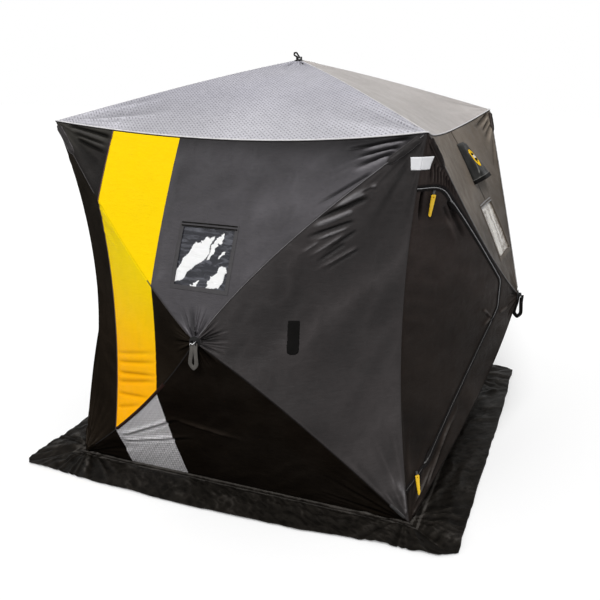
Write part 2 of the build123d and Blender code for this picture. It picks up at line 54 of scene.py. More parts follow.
BASE_HALF, EAVE_HALF = 0.900, 0.890
EAVE_HEIGHT, PEAK_HEIGHT = 1.760, 2.040
HUB_REACH, HUB_HEIGHT = 1.220, 0.880
ROD_TWIST, TWIST_LEAD = 0.044, 0.33
LOWER_ROD_BOW, ROOF_ROD_BOW = 0.028, 0.012
CORNER_SAG, EAVE_SAG_IN, EAVE_SAG_DOWN = 0.130, 0.077, 0.065
MIDDLE = Vector((0, 0, HUB_HEIGHT))
RIDGE_LENGTH = 1.3
CLOTH, TRIM, FILM, LIE = 0.003, 0.0015, 0.001, 0.0003
# How far what is sewn to a panel is raised, or sunk behind it, and its own thickness.
TRIM_LIE, PIPING_LIE, TAPE_LIE = (LIE + TRIM, TRIM), (LIE + 0.0012, 0.0012), (LIE + 0.0024, 0.0024)
STITCH_LIE, SEAM_LIE, COIL_LIE = (LIE + 0.0038, 0.0026), (LIE + 0.0008, 0.0008), (0.0032, 0.0030)
BEHIND = (-CLOTH - LIE, FILM)
SKIRT_THICK, HOOD_THICK, LIP_THICK, LOOP_THICK = 0.0025, 0.0025, 0.0020, 0.0030
BAR_THICK, STRAP_THICK, RIDGE_TAPE_THICK = 0.0016, 0.0024, 0.0012
FRONT_WINDOW_SHIFT = -0.016
# Rows of triangles from a hub to a panel's far edge: the most folded panels, front and door side, others.
FINEST_ROWS, FINE_ROWS, ROWS = 240, 164, 100
NEAR_HUB = 0.16  # up to this share of the way out the rows are split finer
BAND_LEFT, BAND_RIGHT, ROOF_SEAM = -0.595, -0.258, -0.600
BEYOND = 3.0
AIR_LIGHT, FLOOR_GLOW = 0.33, 0.14
FULL_CREST = 0.010  # a fold this high is painted as light as folds get, as painted highlight


# ------------------------------------------------------------------ camera and light
def set_camera():
    """A short lens from the front right, a little above the eaves."""
    back = Vector((0.34911, -0.88641, 0.30397))
    right = Vector((0.93044, 0.36645, 0.0))
    up = back.cross(right)
    data = bpy.data.cameras.new("camera")
    data.lens = 43.508
    data.sensor_width = 36
    camera = bpy.data.objects.new("camera", data)
    axes = Matrix((right, up, back)).transposed()
    camera.matrix_world = Matrix.Translation((1.4837, -3.7545, 1.9960)) @ axes.to_4x4()
    bpy.context.scene.collection.objects.link(camera)
    bpy.context.scene.camera = camera


def soft_sun(name, way, strength, spread):
    """A broad even light from far off, coming from the direction way points to."""
    data = bpy.data.lights.new(name, "SUN")
    data.energy = strength
    data.angle = radians(spread)
    lamp = bpy.data.objects.new(name, data)
    lamp.rotation_euler = Vector(way).to_track_quat("Z", "Y").to_euler()
    lamp.location = Vector(way) * 4
    bpy.context.scene.collection.objects.link(lamp)


# --------------------------------------------------------------------- node shorthand
def set_input(tree, socket, value):
    """Links an input to another node's output, or gives it a fixed value."""
    if isinstance(value, bpy.types.NodeSocket):
        tree.links.new(value, socket)
    else:
        socket.default_value = (*value, 1) if socket.type == "RGBA" else value


def set_inputs(tree, node, **values):
    """Sets or links a node's inputs by name, written with _ for each space."""
    for key, value in values.items():
        set_input(tree, node.inputs[key.replace("_", " ")], value)


def place_node(tree, kind, inputs=(), **settings):
    """A new node with its settings made and its inputs set or linked."""
    made = tree.nodes.new(kind)
    for key, value in settings.items():
        setattr(made, key, value)
    for key, value in dict(inputs).items():
        set_input(tree, made.inputs[key], value)
    return made


def maths(tree, operation, *values, clamp=False):
    return place_node(tree, "ShaderNodeMath", enumerate(values), operation=operation, use_clamp=clamp).outputs[0]


def off_middle(tree, value):
    """How far a value is from a half."""
    return maths(tree, "ABSOLUTE", maths(tree, "SUBTRACT", value, 0.5))


def noise_node(tree, vector, scale, detail, roughness=0.5, distortion=0.0):
    inputs = {"Vector": vector, "Scale": scale, "Detail": detail, "Roughness": roughness, "Distortion": distortion}
    return place_node(tree, "ShaderNodeTexNoise", inputs).outputs["Fac"]


def ramp(tree, value, low, high, to_low=0.0, to_high=1.0):
    inputs = {"Value": value, "From Min": low, "From Max": high, "To Min": to_low, "To Max": to_high}
    return place_node(tree, "ShaderNodeMapRange", inputs, interpolation_type="SMOOTHSTEP").outputs["Result"]


def blend_colour(tree, share, first, second, kind="MIX"):
    inputs = {0: share, 6: first, 7: second}
    return place_node(tree, "ShaderNodeMix", inputs, data_type="RGBA", blend_type=kind).outputs[2]


def shade_colour(tree, tone, light):
    """A colour made lighter or darker by a plain factor."""
    grey = place_node(tree, "ShaderNodeCombineColor", dict.fromkeys(range(3), light)).outputs[0]
    return blend_colour(tree, 1.0, tone, grey, "MULTIPLY")


def bump(tree, height, strength, distance):
    inputs = {"Height": height, "Strength": strength, "Distance": distance}
    return place_node(tree, "ShaderNodeBump", inputs).outputs[0]


def object_place(tree):
    return place_node(tree, "ShaderNodeTexCoord").outputs["Object"]


def cut_place(tree):
    """Metres along and across the cloth as it was cut."""
    return place_node(tree, "ShaderNodeUVMap", uv_map="cut").outputs[0]


def make_group(name, inputs, outputs, build):
    """A shader group: inputs maps names to defaults, and build returns the outputs' sockets."""
    tree = bpy.data.node_groups.new(name, "ShaderNodeTree")
    for key, value in inputs.items():
        kind = "NodeSocketVector" if value is None else "NodeSocketFloat"
        socket = tree.interface.new_socket(key, in_out="INPUT", socket_type=kind)
        if value is not None:
            socket.default_value = value
    for key in outputs:
        tree.interface.new_socket(key, in_out="OUTPUT", socket_type="NodeSocketFloat")
    source = tree.nodes.new("NodeGroupInput")
    sink = tree.nodes.new("NodeGroupOutput")
    made = build(tree, source.outputs)
    for key, socket in zip(outputs, made):
        tree.links.new(socket, sink.inputs[key])
    return tree


def use_group(tree, group, inputs):
    return place_node(tree, "ShaderNodeGroup", inputs, node_tree=group).outputs


def build_weave(tree, given):
    """Plain weave: warp and weft threads that take turns on top."""
    scaled = place_node(
        tree, "ShaderNodeVectorMath", {0: given["Vector"], "Scale": given["Threads"]}, operation="SCALE"
    )
    parts = place_node(tree, "ShaderNodeSeparateXYZ", {0: scaled.outputs[0]})
    over = maths(tree, "SINE", maths(tree, "MULTIPLY", parts.outputs[0], 2 * pi))
    under = maths(tree, "SINE", maths(tree, "MULTIPLY", parts.outputs[1], 2 * pi))
    return (maths(tree, "MULTIPLY_ADD", maths(tree, "MULTIPLY", over, under), 0.5, 0.5),)


def build_quilting(tree, given):
    """Short quilted strokes in staggered rows, with fainter strokes across them."""
    slanted = place_node(tree, "ShaderNodeMapping", {"Vector": given["Vector"], "Rotation": (0, 0, radians(40))})
    parts = place_node(tree, "ShaderNodeSeparateXYZ", {0: slanted.outputs[0]})
    strokes = []
    for along, beside, length, apart in ((0, 1, "Stroke", "Rows"), (1, 0, "Rows", "Stroke")):
        run = maths(tree, "DIVIDE", parts.outputs[along], given[length])
        row = maths(tree, "DIVIDE", parts.outputs[beside], given[apart])
        stagger = maths(tree, "MULTIPLY_ADD", maths(tree, "FLOOR", row), 0.5, run)
        across = off_middle(tree, maths(tree, "FRACT", row))
        reach = off_middle(tree, maths(tree, "FRACT", stagger))
        thin = maths(tree, "MULTIPLY", maths(tree, "SUBTRACT", given["Thick"], across), 6.25, clamp=True)
        strokes.append(maths(tree, "MULTIPLY", thin, ramp(tree, reach, 0.40, 0.22)))
    wear_and_highlight = ramp(tree, noise_node(tree, given["Vector"], 38.0, 3.0, 0.6), 0.30, 0.62, 0.55, 1.0)
    return [maths(tree, "MULTIPLY", stroke, wear_and_highlight) for stroke in strokes]


def build_creases(tree, given):
    """Soft crumpling that runs mostly one way, with fine level crinkles in it."""
    tall = place_node(tree, "ShaderNodeMapping", {"Vector": given["Vector"], "Scale": (1.0, 1.0, 0.55)}).outputs[0]
    level = place_node(tree, "ShaderNodeMapping", {"Vector": given["Vector"], "Scale": (0.30, 0.30, 1.0)}).outputs[0]
    broad = noise_node(tree, tall, 9.0, 4.0, 0.55, 1.2)
    ridge = off_middle(tree, noise_node(tree, tall, 22.0, 3.0, 0.5, 0.8))
    crinkle = noise_node(tree, level, 95.0, 3.0, 0.65, 0.3)
    grain = maths(tree, "MULTIPLY", maths(tree, "SUBTRACT", crinkle, 0.5), 1.1)
    folds = maths(tree, "MULTIPLY_ADD", broad, 0.7, maths(tree, "MULTIPLY", ridge, -0.9))
    return (maths(tree, "ADD", folds, grain),)


WEAVE = make_group("plain_weave", {"Vector": None, "Threads": 900.0}, ["Height"], build_weave)
QUILTED = {"Vector": None, "Stroke": 0.020, "Rows": 0.0125, "Thick": 0.24}
QUILTING = make_group("stroke_quilting", QUILTED, ["Strokes", "Cross"], build_quilting)
CREASES = make_group("fine_creases", {"Vector": None}, ["Height"], build_creases)


def new_material(name, **fixed):
    """A node material whose shader's own sockets hold what is the same all over."""
    material = bpy.data.materials.new(name)
    material.use_nodes = True
    shader = material.node_tree.nodes["Principled BSDF"]
    set_inputs(material.node_tree, shader, **fixed)
    return material, material.node_tree, shader


def finish_cloth(
    name, colour, dusty, roughness, gloss, stain=0.6, relief=1.0, quilted=0.0,
    low_colour=None, low=0.5, high=1.5, crest_highlight=None, thick=0.24,
):
    """Coated cloth: two close shades, a fine weave, painted highlights on the crests of its folds and painted shade in
    their hollows.
    """
    material, tree, shader = new_material(name, Specular_IOR_Level=gloss)
    place, flat = object_place(tree), cut_place(tree)
    # The fold attribute is the height of each point's fold, used below for painted highlight and painted shade.
    crest = place_node(tree, "ShaderNodeAttribute", attribute_name="fold").outputs["Fac"]
    patchy = ramp(tree, noise_node(tree, place, 2.6, 4.0, 0.6, 0.4), 0.32, 0.70, 0.0, stain)
    tone = blend_colour(tree, patchy, colour, dusty)
    # Painted light and shade by height: between high and low the colour turns to low_colour.
    if low_colour:
        rise = place_node(tree, "ShaderNodeSeparateXYZ", {0: place}).outputs[2]
        tone = blend_colour(tree, ramp(tree, rise, high, low), tone, low_colour)
    fine = use_group(tree, CREASES, {"Vector": place})[0]
    thread = use_group(tree, WEAVE, {"Vector": flat, "Threads": 800.0})[0]
    # Painted shade and highlight: hollows darker and crests lighter by the fold height, fine creases darker by the
    # crease noise.
    folded = maths(tree, "POWER", 2.0, maths(tree, "MULTIPLY", crest, 1.6 * relief))
    soft = ramp(tree, fine, -0.1, 0.5, 1 - 0.09 * relief, 1 + 0.09 * relief)
    tone = shade_colour(tree, tone, maths(tree, "MULTIPLY", folded, soft))
    # The light crest colour is a painted highlight, blended over the highest crests.
    if crest_highlight:
        wear_and_highlight = maths(tree, "MULTIPLY", ramp(tree, crest, 0.25, 1.0), ramp(tree, fine, 0.0, 0.4, 0.45, 1.0))
        tone = blend_colour(tree, wear_and_highlight, tone, crest_highlight)
    height = maths(tree, "MULTIPLY_ADD", thread, 0.12, fine)
    if quilted:
        strokes, cross = use_group(tree, QUILTING, {"Vector": flat, "Thick": thick})[:2]
        for stitch, depth, dark in ((strokes, quilted, 0.24), (cross, 0.5 * quilted, 0.45)):
            tone = blend_colour(tree, maths(tree, "MULTIPLY", stitch, depth), tone, tuple(dark * c for c in colour))
        height = maths(tree, "MULTIPLY_ADD", maths(tree, "ADD", strokes, cross), -0.5, height)
    rough = ramp(tree, noise_node(tree, place, 14.0, 3.0), 0.3, 0.7, roughness - 0.06, roughness + 0.08)
    set_inputs(tree, shader, Base_Color=tone, Roughness=rough, Normal=bump(tree, height, 0.45, 0.004))
    return material


def finish_moulding(name, colour, wear_and_highlight, roughness, grain=300.0, depth=0.15, **fixed):
    """Moulded plastic, rubber or painted metal with a fine grain and handled edges."""
    material, tree, shader = new_material(name, **fixed)
    place = object_place(tree)
    handled = ramp(tree, noise_node(tree, place, 30.0, 4.0, 0.6), 0.45, 0.75)
    tone = blend_colour(tree, handled, colour, wear_and_highlight)
    rough = ramp(tree, handled, 0.0, 1.0, roughness, min(roughness + 0.12, 1))
    grained = bump(tree, noise_node(tree, place, grain, 2.0), depth, 0.0005)
    set_inputs(tree, shader, Base_Color=tone, Roughness=rough, Normal=grained)
    return material


def finish_webbing(name, colour, ribs=350.0):
    """Woven tape with ribs across it and a ridge along each thread."""
    material, tree, shader = new_material(name, Specular_IOR_Level=0.05, Roughness=0.72)
    thread = use_group(tree, WEAVE, {"Vector": cut_place(tree), "Threads": ribs})[0]
    shade = ramp(tree, noise_node(tree, object_place(tree), 25.0, 3.0), 0.3, 0.7, 0.8, 1.1)
    light = maths(tree, "MULTIPLY", shade, maths(tree, "MULTIPLY_ADD", thread, 0.35, 0.75))
    set_inputs(tree, shader, Base_Color=shade_colour(tree, colour, light), Normal=bump(tree, thread, 0.6, 0.0006))
    return material


def finish_vinyl(name, streaks, film_dark_tone, film_light_tone, gleam):
    """Clear window film with painted reflections: pale streaks along slanting folds, and between them a darker tone
    that is painted shade for the unlit inside, lighter along creases as painted reflection.
    """
    material, tree, shader = new_material(
        name, Transmission_Weight=0.25, IOR=1.45, Specular_IOR_Level=0.22, Coat_Weight=0.12
    )
    flat = cut_place(tree)
    wobble = place_node(tree, "ShaderNodeTexNoise", {"Vector": flat, "Scale": 16.0, "Detail": 4.0, "Roughness": 0.6})
    moved = wobble.outputs["Color"]
    for operation, inputs in (
        ("SUBTRACT", {1: (0.5, 0.5, 0.5)}), ("SCALE", {"Scale": 0.075}), ("ADD", {1: flat}),
    ):
        moved = place_node(tree, "ShaderNodeVectorMath", {0: moved, **inputs}, operation=operation).outputs[0]
    # The streaks' shares: where the painted reflections lie.
    total = 0.0
    for middle, angle, length, width in streaks:
        inputs = {"Vector": moved, "Location": (*middle, 0), "Rotation": (0, 0, radians(angle))}
        local = place_node(tree, "ShaderNodeMapping", inputs, vector_type="TEXTURE")
        parts = place_node(tree, "ShaderNodeSeparateXYZ", {0: local.outputs[0]}).outputs
        long = maths(tree, "DIVIDE", maths(tree, "ABSOLUTE", parts[0]), length)
        wide = maths(tree, "DIVIDE", maths(tree, "ABSOLUTE", parts[1]), width)
        away = maths(tree, "ADD", maths(tree, "POWER", long, 2.4), maths(tree, "POWER", wide, 1.6))
        total = maths(tree, "MAXIMUM", total, ramp(tree, away, 1.06, 0.86))
    inputs = {"Vector": flat, "Rotation": (0, 0, radians(-52)), "Scale": (8.0, 42.0, 1.0)}
    creased = noise_node(tree, place_node(tree, "ShaderNodeMapping", inputs).outputs[0], 1.0, 4.0, 0.6, 1.4)
    # Darker film tone as painted shade, lighter along creases as painted reflection.
    tone = blend_colour(tree, ramp(tree, creased, 0.44, 0.72), film_dark_tone, film_light_tone)
    tone = blend_colour(tree, total, tone, gleam)
    rough = ramp(tree, total, 0.0, 1.0, 0.12, 0.50)
    set_inputs(tree, shader, Base_Color=tone, Roughness=rough, Normal=bump(tree, creased, 0.7, 0.006))
    return material


# ------------------------------------------------------------------- noise for folds
def lattice_noise(across, up, seed):
    """Smooth noise from -1 to 1 on a lattice of whole numbers, repeating every 64."""
    table = np.random.default_rng(seed).uniform(-1, 1, (64, 64))
    column, row = np.floor(across).astype(int), np.floor(up).astype(int)
    right, top = across - column, up - row
    right, top = right * right * (3 - 2 * right), top * top * (3 - 2 * top)

    def corner(add_column, add_row):
        return table[(column + add_column) % 64, (row + add_row) % 64]

    low = corner(0, 0) * (1 - right) + corner(1, 0) * right
    high = corner(0, 1) * (1 - right) + corner(1, 1) * right
    return low * (1 - top) + high * top


def crumple(across, up, size, seed, stretch=1.0, angle=0.0):
    """Sharp-crested folds about size apart, drawn out along one direction."""
    along = across * cos(angle) + up * sin(angle)
    beside = -across * sin(angle) + up * cos(angle)
    warp = 0.35 * lattice_noise(along / size * 0.6 + 9, beside / size * 0.6 + 5, seed + 1)
    value = lattice_noise(along / size / stretch + 20 + warp, beside / size + 20 + warp, seed)
    return 0.55 - np.sqrt(value * value + 0.012) * 1.25


def ease(value, low, high):
    share = np.clip((value - low) / (high - low), 0, 1)
    return share * share * (3 - 2 * share)


def fan(across, up, centre, near, far, pleats, height, seed, toward=None, spread=pi):
    """Pleats that run out from a point, widening as they go."""
    side, rise = across - centre[0], up - centre[1]
    reach = np.hypot(side, rise)
    angle = np.arctan2(rise, side)
    pleat = lattice_noise(angle / (2 * pi) * pleats * 2 + 32, reach / far * 1.1 + 7, seed)
    shaped = 0.42 - np.sqrt(pleat * pleat + 0.01) * 1.3
    fade = ease(reach, near * 0.4, near) * (1 - ease(reach, far * 0.35, far))
    if toward is not None:
        miss = np.abs((angle - toward + pi) % (2 * pi) - pi)
        fade = fade * (1 - ease(miss, spread * 0.55, spread))
    return height * shaped * fade


def fold(across, up, start, end, width, height, lean=0.0, fade_in=0.30):
    """One long soft fold between two points, steeper on one side."""
    run = np.array(end) - np.array(start)
    length = np.hypot(*run)
    side, rise = across - start[0], up - start[1]
    along = (side * run[0] + rise * run[1]) / length**2
    beside = (-side * run[1] + rise * run[0]) / length / width
    fade = ease(along, -0.02, fade_in) * (1 - ease(along, 0.55, 1.02))
    return height * fade * np.exp(-beside * beside) * (1 + lean * beside)


# --------------------------------------------------------------- the cloth's surface
def unit(vectors):
    return vectors / np.maximum(np.linalg.norm(vectors, axis=-1, keepdims=True), 1e-12)


@dataclass
class Ridge:
    """The line from a hub to a corner, over a bowed rod."""

    hub: tuple
    corner: tuple
    outward: tuple
    bow: float
    twist: float

    def at(self, share):
        share = np.asarray(share, float)[..., None]
        hub, corner, outward = (np.array(v, float) for v in (self.hub, self.corner, self.outward))
        chord = corner - hub
        side = unit(np.cross(outward, chord))
        hump = 4 * share * (1 - share) * (1 + TWIST_LEAD * (1 - 2 * share))
        return hub + chord * share + (outward * self.bow + side * self.twist) * hump


@dataclass
class Panel:
    """A triangle of cloth between two ridges, drawn in along its far edge."""

    first: Ridge
    second: Ridge
    sag: tuple

    def at(self, share, across):
        start, end = self.first.at(share), self.second.at(share)
        hollow = 4 * across * (1 - across) * share**2
        return start + (end - start) * across[..., None] + np.array(self.sag) * hollow[..., None]


def wall_ridge(corner, bow):
    return Ridge((0, -HUB_REACH, HUB_HEIGHT), corner, (0, -1, 0), bow, ROD_TWIST)


SIDE_SAG = CORNER_SAG / sqrt(2)
HIGH_LEFT = wall_ridge((-EAVE_HALF, -EAVE_HALF, EAVE_HEIGHT), 0)
HIGH_RIGHT = wall_ridge((EAVE_HALF, -EAVE_HALF, EAVE_HEIGHT), 0)
LOW_LEFT = wall_ridge((-BASE_HALF, -BASE_HALF, CLOTH), LOWER_ROD_BOW)
LOW_RIGHT = wall_ridge((BASE_HALF, -BASE_HALF, CLOTH), LOWER_ROD_BOW)
ROOF_LEFT, ROOF_RIGHT = (
    Ridge((0, 0, PEAK_HEIGHT), (hand * EAVE_HALF, -EAVE_HALF, EAVE_HEIGHT), (0, 0, 1), ROOF_ROD_BOW, 0)
    for hand in (-1, 1)
)
EAVE_SAG = (0, EAVE_SAG_IN, -EAVE_SAG_DOWN)
PANELS = {
    "upper": Panel(HIGH_LEFT, HIGH_RIGHT, EAVE_SAG),
    "left": Panel(HIGH_LEFT, LOW_LEFT, (SIDE_SAG, SIDE_SAG, 0)),
    "right": Panel(HIGH_RIGHT, LOW_RIGHT, (-SIDE_SAG, SIDE_SAG, 0)),
    "lower": Panel(LOW_LEFT, LOW_RIGHT, (0, 0, 0)),
    "roof": Panel(ROOF_LEFT, ROOF_RIGHT, EAVE_SAG),
}


def outward_normals(panel, share, across):
    step = 1e-3
    here = panel.at(share, across)
    way = unit(np.cross(panel.at(share + step, across) - here, panel.at(share, across + step) - here))
    return way * np.sign(((here - np.array(MIDDLE)) * way).sum(axis=1, keepdims=True))


def turned(points, quarter):
    """Points of a wall that faces -Y, on the wall that many quarter turns on."""
    points = np.array(points, float)
    for _ in range(quarter):
        points = np.stack((-points[..., 1], points[..., 0], points[..., 2]), axis=-1)
    return points


# -------------------------------------------------------------------------- outlines
def rectangle(left, low, right, high):
    return [(left, low), (right, low), (right, high), (left, high)]


def rounded(corners, radii, steps=5):
    """A closed outline with its corners rounded off."""
    points = []
    count = len(corners)
    for i, radius in enumerate(radii):
        here, before, after = (Vector(corners[(i + k) % count]) for k in (0, -1, 1))
        if radius == 0:
            points.append(tuple(here))
            continue
        back, on = (before - here).normalized(), (after - here).normalized()
        half = back.angle(on) / 2
        reach = radius / np.tan(half)
        start, end = here + back * reach, here + on * reach
        centre = here + (back + on).normalized() * (radius / sin(half))
        for k in range(steps + 1):
            chord = start.lerp(end, k / steps) - centre
            points.append(tuple(centre + chord.normalized() * radius))
    return points


def window_lines(quarter):
    """The film's edge, the edge of its hem, how far the film laps behind, and two stitched top lines."""
    shift = FRONT_WINDOW_SHIFT if quarter == FRONT else 0.0
    film = rectangle(shift - 0.127, 1.100, shift + 0.127, 1.335)
    hem = rectangle(shift - 0.1455, 1.082, shift + 0.1455, 1.356)
    lap = rectangle(shift - 0.139, 1.088, shift + 0.139, 1.347)
    tops = [rectangle(shift - 0.138, low, shift + 0.138, low + 0.0045) for low in (1.3365, 1.3490)]
    return film, hem, lap, tops


def grown(outline, amount):
    """The same closed outline, moved outwards by amount."""
    points = np.array(outline)
    before, after = points - np.roll(points, 1, axis=0), np.roll(points, -1, axis=0) - points
    area = np.sum(points[:, 0] * np.roll(points[:, 1], -1) - np.roll(points[:, 0], -1) * points[:, 1])
    normals = [unit(np.stack((run[:, 1], -run[:, 0]), axis=1)) for run in (before, after)]
    middle = normals[0] + normals[1]
    middle = middle / np.maximum((middle * normals[0]).sum(axis=1, keepdims=True), 0.35)
    return points + (1 if area > 0 else -1) * amount * middle


def inside(outline, side, height):
    """Whether each point lies within a closed outline."""
    result = np.zeros(len(side), bool)
    points = np.array(outline)
    for (x0, z0), (x1, z1) in zip(points, np.roll(points, -1, axis=0)):
        if z0 == z1:
            continue
        crosses = (z0 > height) != (z1 > height)
        result ^= crosses & (side < (x1 - x0) * (height - z0) / (z1 - z0) + x0)
    return result


VENT_SEAM = rectangle(0.028, 1.357, 0.033, BEYOND)
PIPING = rectangle(BAND_LEFT - 0.0045, -1.0, BAND_LEFT, BEYOND)
VENT_SIDE, VENT_LOW, VENT_HIGH = 0.070, 1.440, 1.630
VENT_LOW_WIDTH, VENT_HIGH_WIDTH = 0.240, 0.150
VENT = [
    (VENT_SIDE - VENT_LOW_WIDTH / 2, VENT_LOW),
    (VENT_SIDE + VENT_LOW_WIDTH / 2, VENT_LOW),
    (VENT_SIDE + VENT_HIGH_WIDTH / 2, VENT_HIGH),
    (VENT_SIDE - VENT_HIGH_WIDTH / 2, VENT_HIGH),
]
VENT_HOLE = grown(VENT, -0.026)
HOOD_OPEN, HOOD_SHUT = 0.056, 0.014  # how far a hood stands out at its foot and at its top
LONG_STRAP = 0.118
DOOR_TOP, DOOR_GAP, ZIP_WIDTH, COIL = 1.531, 0.005, 0.009, 0.0028
DOOR = rounded(
    [(-1.0, DOOR_TOP), (-1.0, 0.0572), (-0.735, 0.248), (-0.225, 0.872), (-0.225, 1.0125), (-0.7494, DOOR_TOP)],
    [0, 0, 0, 0.060, 0.060, 0.110],
)
DOOR_LINES = [DOOR] + [grown(DOOR, by) for by in (-ZIP_WIDTH, COIL, DOOR_GAP, DOOR_GAP + ZIP_WIDTH)]
PATCH = {-1: rectangle(-0.95, 1.610, -0.828, 1.663), 1: rectangle(0.828, 1.610, 0.95, 1.663)}
STRIP = rounded(rectangle(0.371, 0.826, 0.417, 0.976), [0.018, 0.018, 0.004, 0.004], 4)
BAND = rectangle(BAND_LEFT, -1.0, BAND_RIGHT, BEYOND)
ROOF_END = rectangle(-BEYOND, -BEYOND, ROOF_SEAM, BEYOND)


# ------------------------------------------------------------------- folds, by panel
def corner_folds(side, height, hand, seed):
    """Long folds that leave a panel's low corner side by side, each of its own length and depth."""
    chance = np.random.default_rng(seed)
    count, length, width, depth = 8, 0.19, 0.0058, 0.0055
    corner = np.array((hand * 0.895, 0.012))
    total = np.zeros(len(side))
    for k in range(count):
        angle = radians(90 + hand * (12 + 40 * (k + chance.uniform(-0.2, 0.2)) / (count - 1)))
        way = np.array((cos(angle), sin(angle)))
        beside = 1.5 * width * np.array((-sin(angle), cos(angle)))
        start, end = corner + 0.030 * way, corner + length * chance.uniform(0.70, 1.15) * way
        lift = depth * chance.uniform(0.8, 1.2)
        total += fold(side, height, start, end, width * chance.uniform(0.8, 1.2), lift, 0.4, 0.14)
        total += fold(side, height, start + beside, end + 1.6 * beside, width * 0.85, -0.95 * lift, 0.0, 0.14)
    return total


# Folds, listed as where each starts and ends along and up the wall, its width and its lift.
UPPER_FOLDS = (
    (0.834, 1.744, 0.52, 1.672, 0.0062, -0.017), (0.786, 1.706, 0.585, 1.649, 0.005, -0.015),
    (0.772, 1.683, 0.58, 1.612, 0.005, -0.014), (0.69, 1.607, 0.455, 1.458, 0.0052, -0.013),
    (0.815, 1.727, 0.56, 1.664, 0.01, 0.007), (0.78, 1.696, 0.57, 1.632, 0.0085, 0.007),
    (0.76, 1.664, 0.56, 1.585, 0.012, 0.007), (0.83, 1.76, 0.58, 1.725, 0.009, 0.007),
)
RIDGE_FOLDS = (
    (0.711, 1.56, 0.56, 1.48, 0.0085, 0.011), (0.7, 1.55, 0.575, 1.484, 0.0065, -0.01),
    (0.668, 1.527, 0.53, 1.458, 0.0085, 0.012), (0.68, 1.503, 0.46, 1.401, 0.0085, -0.016),
    (0.622, 1.455, 0.455, 1.38, 0.011, 0.013), (0.625, 1.405, 0.428, 1.332, 0.0075, -0.013),
    (0.606, 1.385, 0.449, 1.315, 0.007, 0.008), (0.55, 1.368, 0.403, 1.258, 0.0055, 0.007),
    (0.535, 1.352, 0.47, 1.312, 0.0055, -0.008), (0.59, 1.356, 0.433, 1.243, 0.0055, 0.007),
    (0.632, 1.365, 0.495, 1.258, 0.006, -0.0095), (0.59, 1.311, 0.47, 1.222, 0.006, -0.0095),
    (0.635, 1.296, 0.466, 1.19, 0.0055, 0.0085), (0.645, 1.285, 0.49, 1.18, 0.0055, -0.005),
)
PLEATS = tuple(
    (0.834 - 0.0086 * k, 1.65 - 0.0071 * k, 0.798 - 0.0083 * k, 1.541 - 0.004 * k, 0.0046, (-0.012, 0.0085)[k % 2])
    for k in range(18)
)
DOOR_FOLDS = (
    (-0.7, 1.47, -0.625, 1.365, 0.008, -0.014), (-0.655, 1.405, -0.55, 1.272, 0.0085, -0.011),
    (-0.69, 1.4, -0.585, 1.25, 0.011, 0.005), (-0.714, 1.446, -0.65, 1.355, 0.0055, -0.006),
    (-0.345, 0.89, -0.27, 0.825, 0.0065, 0.011), (-0.27, 0.84, -0.345, 0.8, 0.006, 0.01),
    (-0.205, 0.838, -0.118, 0.85, 0.0065, 0.011), (-0.33, 0.87, -0.25, 0.802, 0.007, -0.008),
    (-0.838, 0.088, -0.66, 0.28, 0.0065, 0.011), (-0.778, 0.125, -0.55, 0.43, 0.007, 0.012),
    (-0.729, 0.171, -0.505, 0.47, 0.007, 0.009), (-0.8, 0.11, -0.6, 0.36, 0.007, -0.012),
    (-0.745, 0.14, -0.53, 0.43, 0.007, -0.011), (-0.82, 0.13, -0.69, 0.33, 0.006, -0.009),
    (-0.826, 1.524, -0.799, 1.38, 0.006, -0.024),
)
BAND_FOLDS = (
    (-0.59, 0.602, -0.225, 0.722, 0.006, -0.01), (-0.59, 0.548, -0.225, 0.657, 0.006, -0.012),
    (-0.595, 0.498, -0.225, 0.633, 0.007, -0.011), (-0.59, 0.441, -0.285, 0.529, 0.006, -0.011),
    (-0.59, 0.368, -0.37, 0.466, 0.006, -0.009), (-0.6, 0.644, -0.225, 0.77, 0.007, -0.007),
)
# Creases in the foot of the band, and the crests above them.
FOOT_CREASES = ((-0.56, 0.213, -0.15, 0.425, 0.008, -0.01), (-0.57, 0.165, -0.12, 0.3, 0.008, -0.01))
FOOT_CRESTS = ((-0.56, 0.23, -0.15, 0.45, 0.01, 0.006), (-0.57, 0.185, -0.12, 0.325, 0.01, 0.006))


def pressed(side, height, folds, hand=1, lean=0.3, fade_in=0.16):
    """The lift of a list of folds, mirrored for a panel on the other hand."""
    total = np.zeros(len(side))
    for x0, z0, x1, z1, width, lift in folds:
        total += fold(side, height, (hand * x0, z0), (hand * x1, z1), width, lift, lean, fade_in)
    return total


def distance_to(outline, side, height):
    """How far each point is from a closed outline."""
    nearest = np.full(len(side), 9.0)
    points = np.array(outline)
    for start, end in zip(points, np.roll(points, -1, axis=0)):
        run = end - start
        share = ((side - start[0]) * run[0] + (height - start[1]) * run[1]) / max((run * run).sum(), 1e-12)
        x, z = start[:, None] + run[:, None] * np.clip(share, 0, 1)
        nearest = np.minimum(nearest, np.hypot(side - x, height - z))
    return nearest


def roof_folds(quarter, seed, side, height):
    """Pleats at a roof panel's eave corners, and soft waves over it."""
    lift = 0.0032 * crumple(side, height, 0.34, seed + 2, 2.2, 0.3) + 0.0008 * crumple(side, height, 0.09, seed + 3)
    for hand, way, depth in ((-1, 0.75, 0.0135), (1, 2.4, 0.0055)):
        lift += fan(side, height, (hand * EAVE_HALF, -EAVE_HALF), 0.05, 0.62, 26, depth, seed + 1, way, 0.75)
    if quarter in (FRONT, BACK):
        lift += fold(side, height, (ROOF_SEAM, -0.90), (ROOF_SEAM, -0.50), 0.006, 0.003)
    return lift


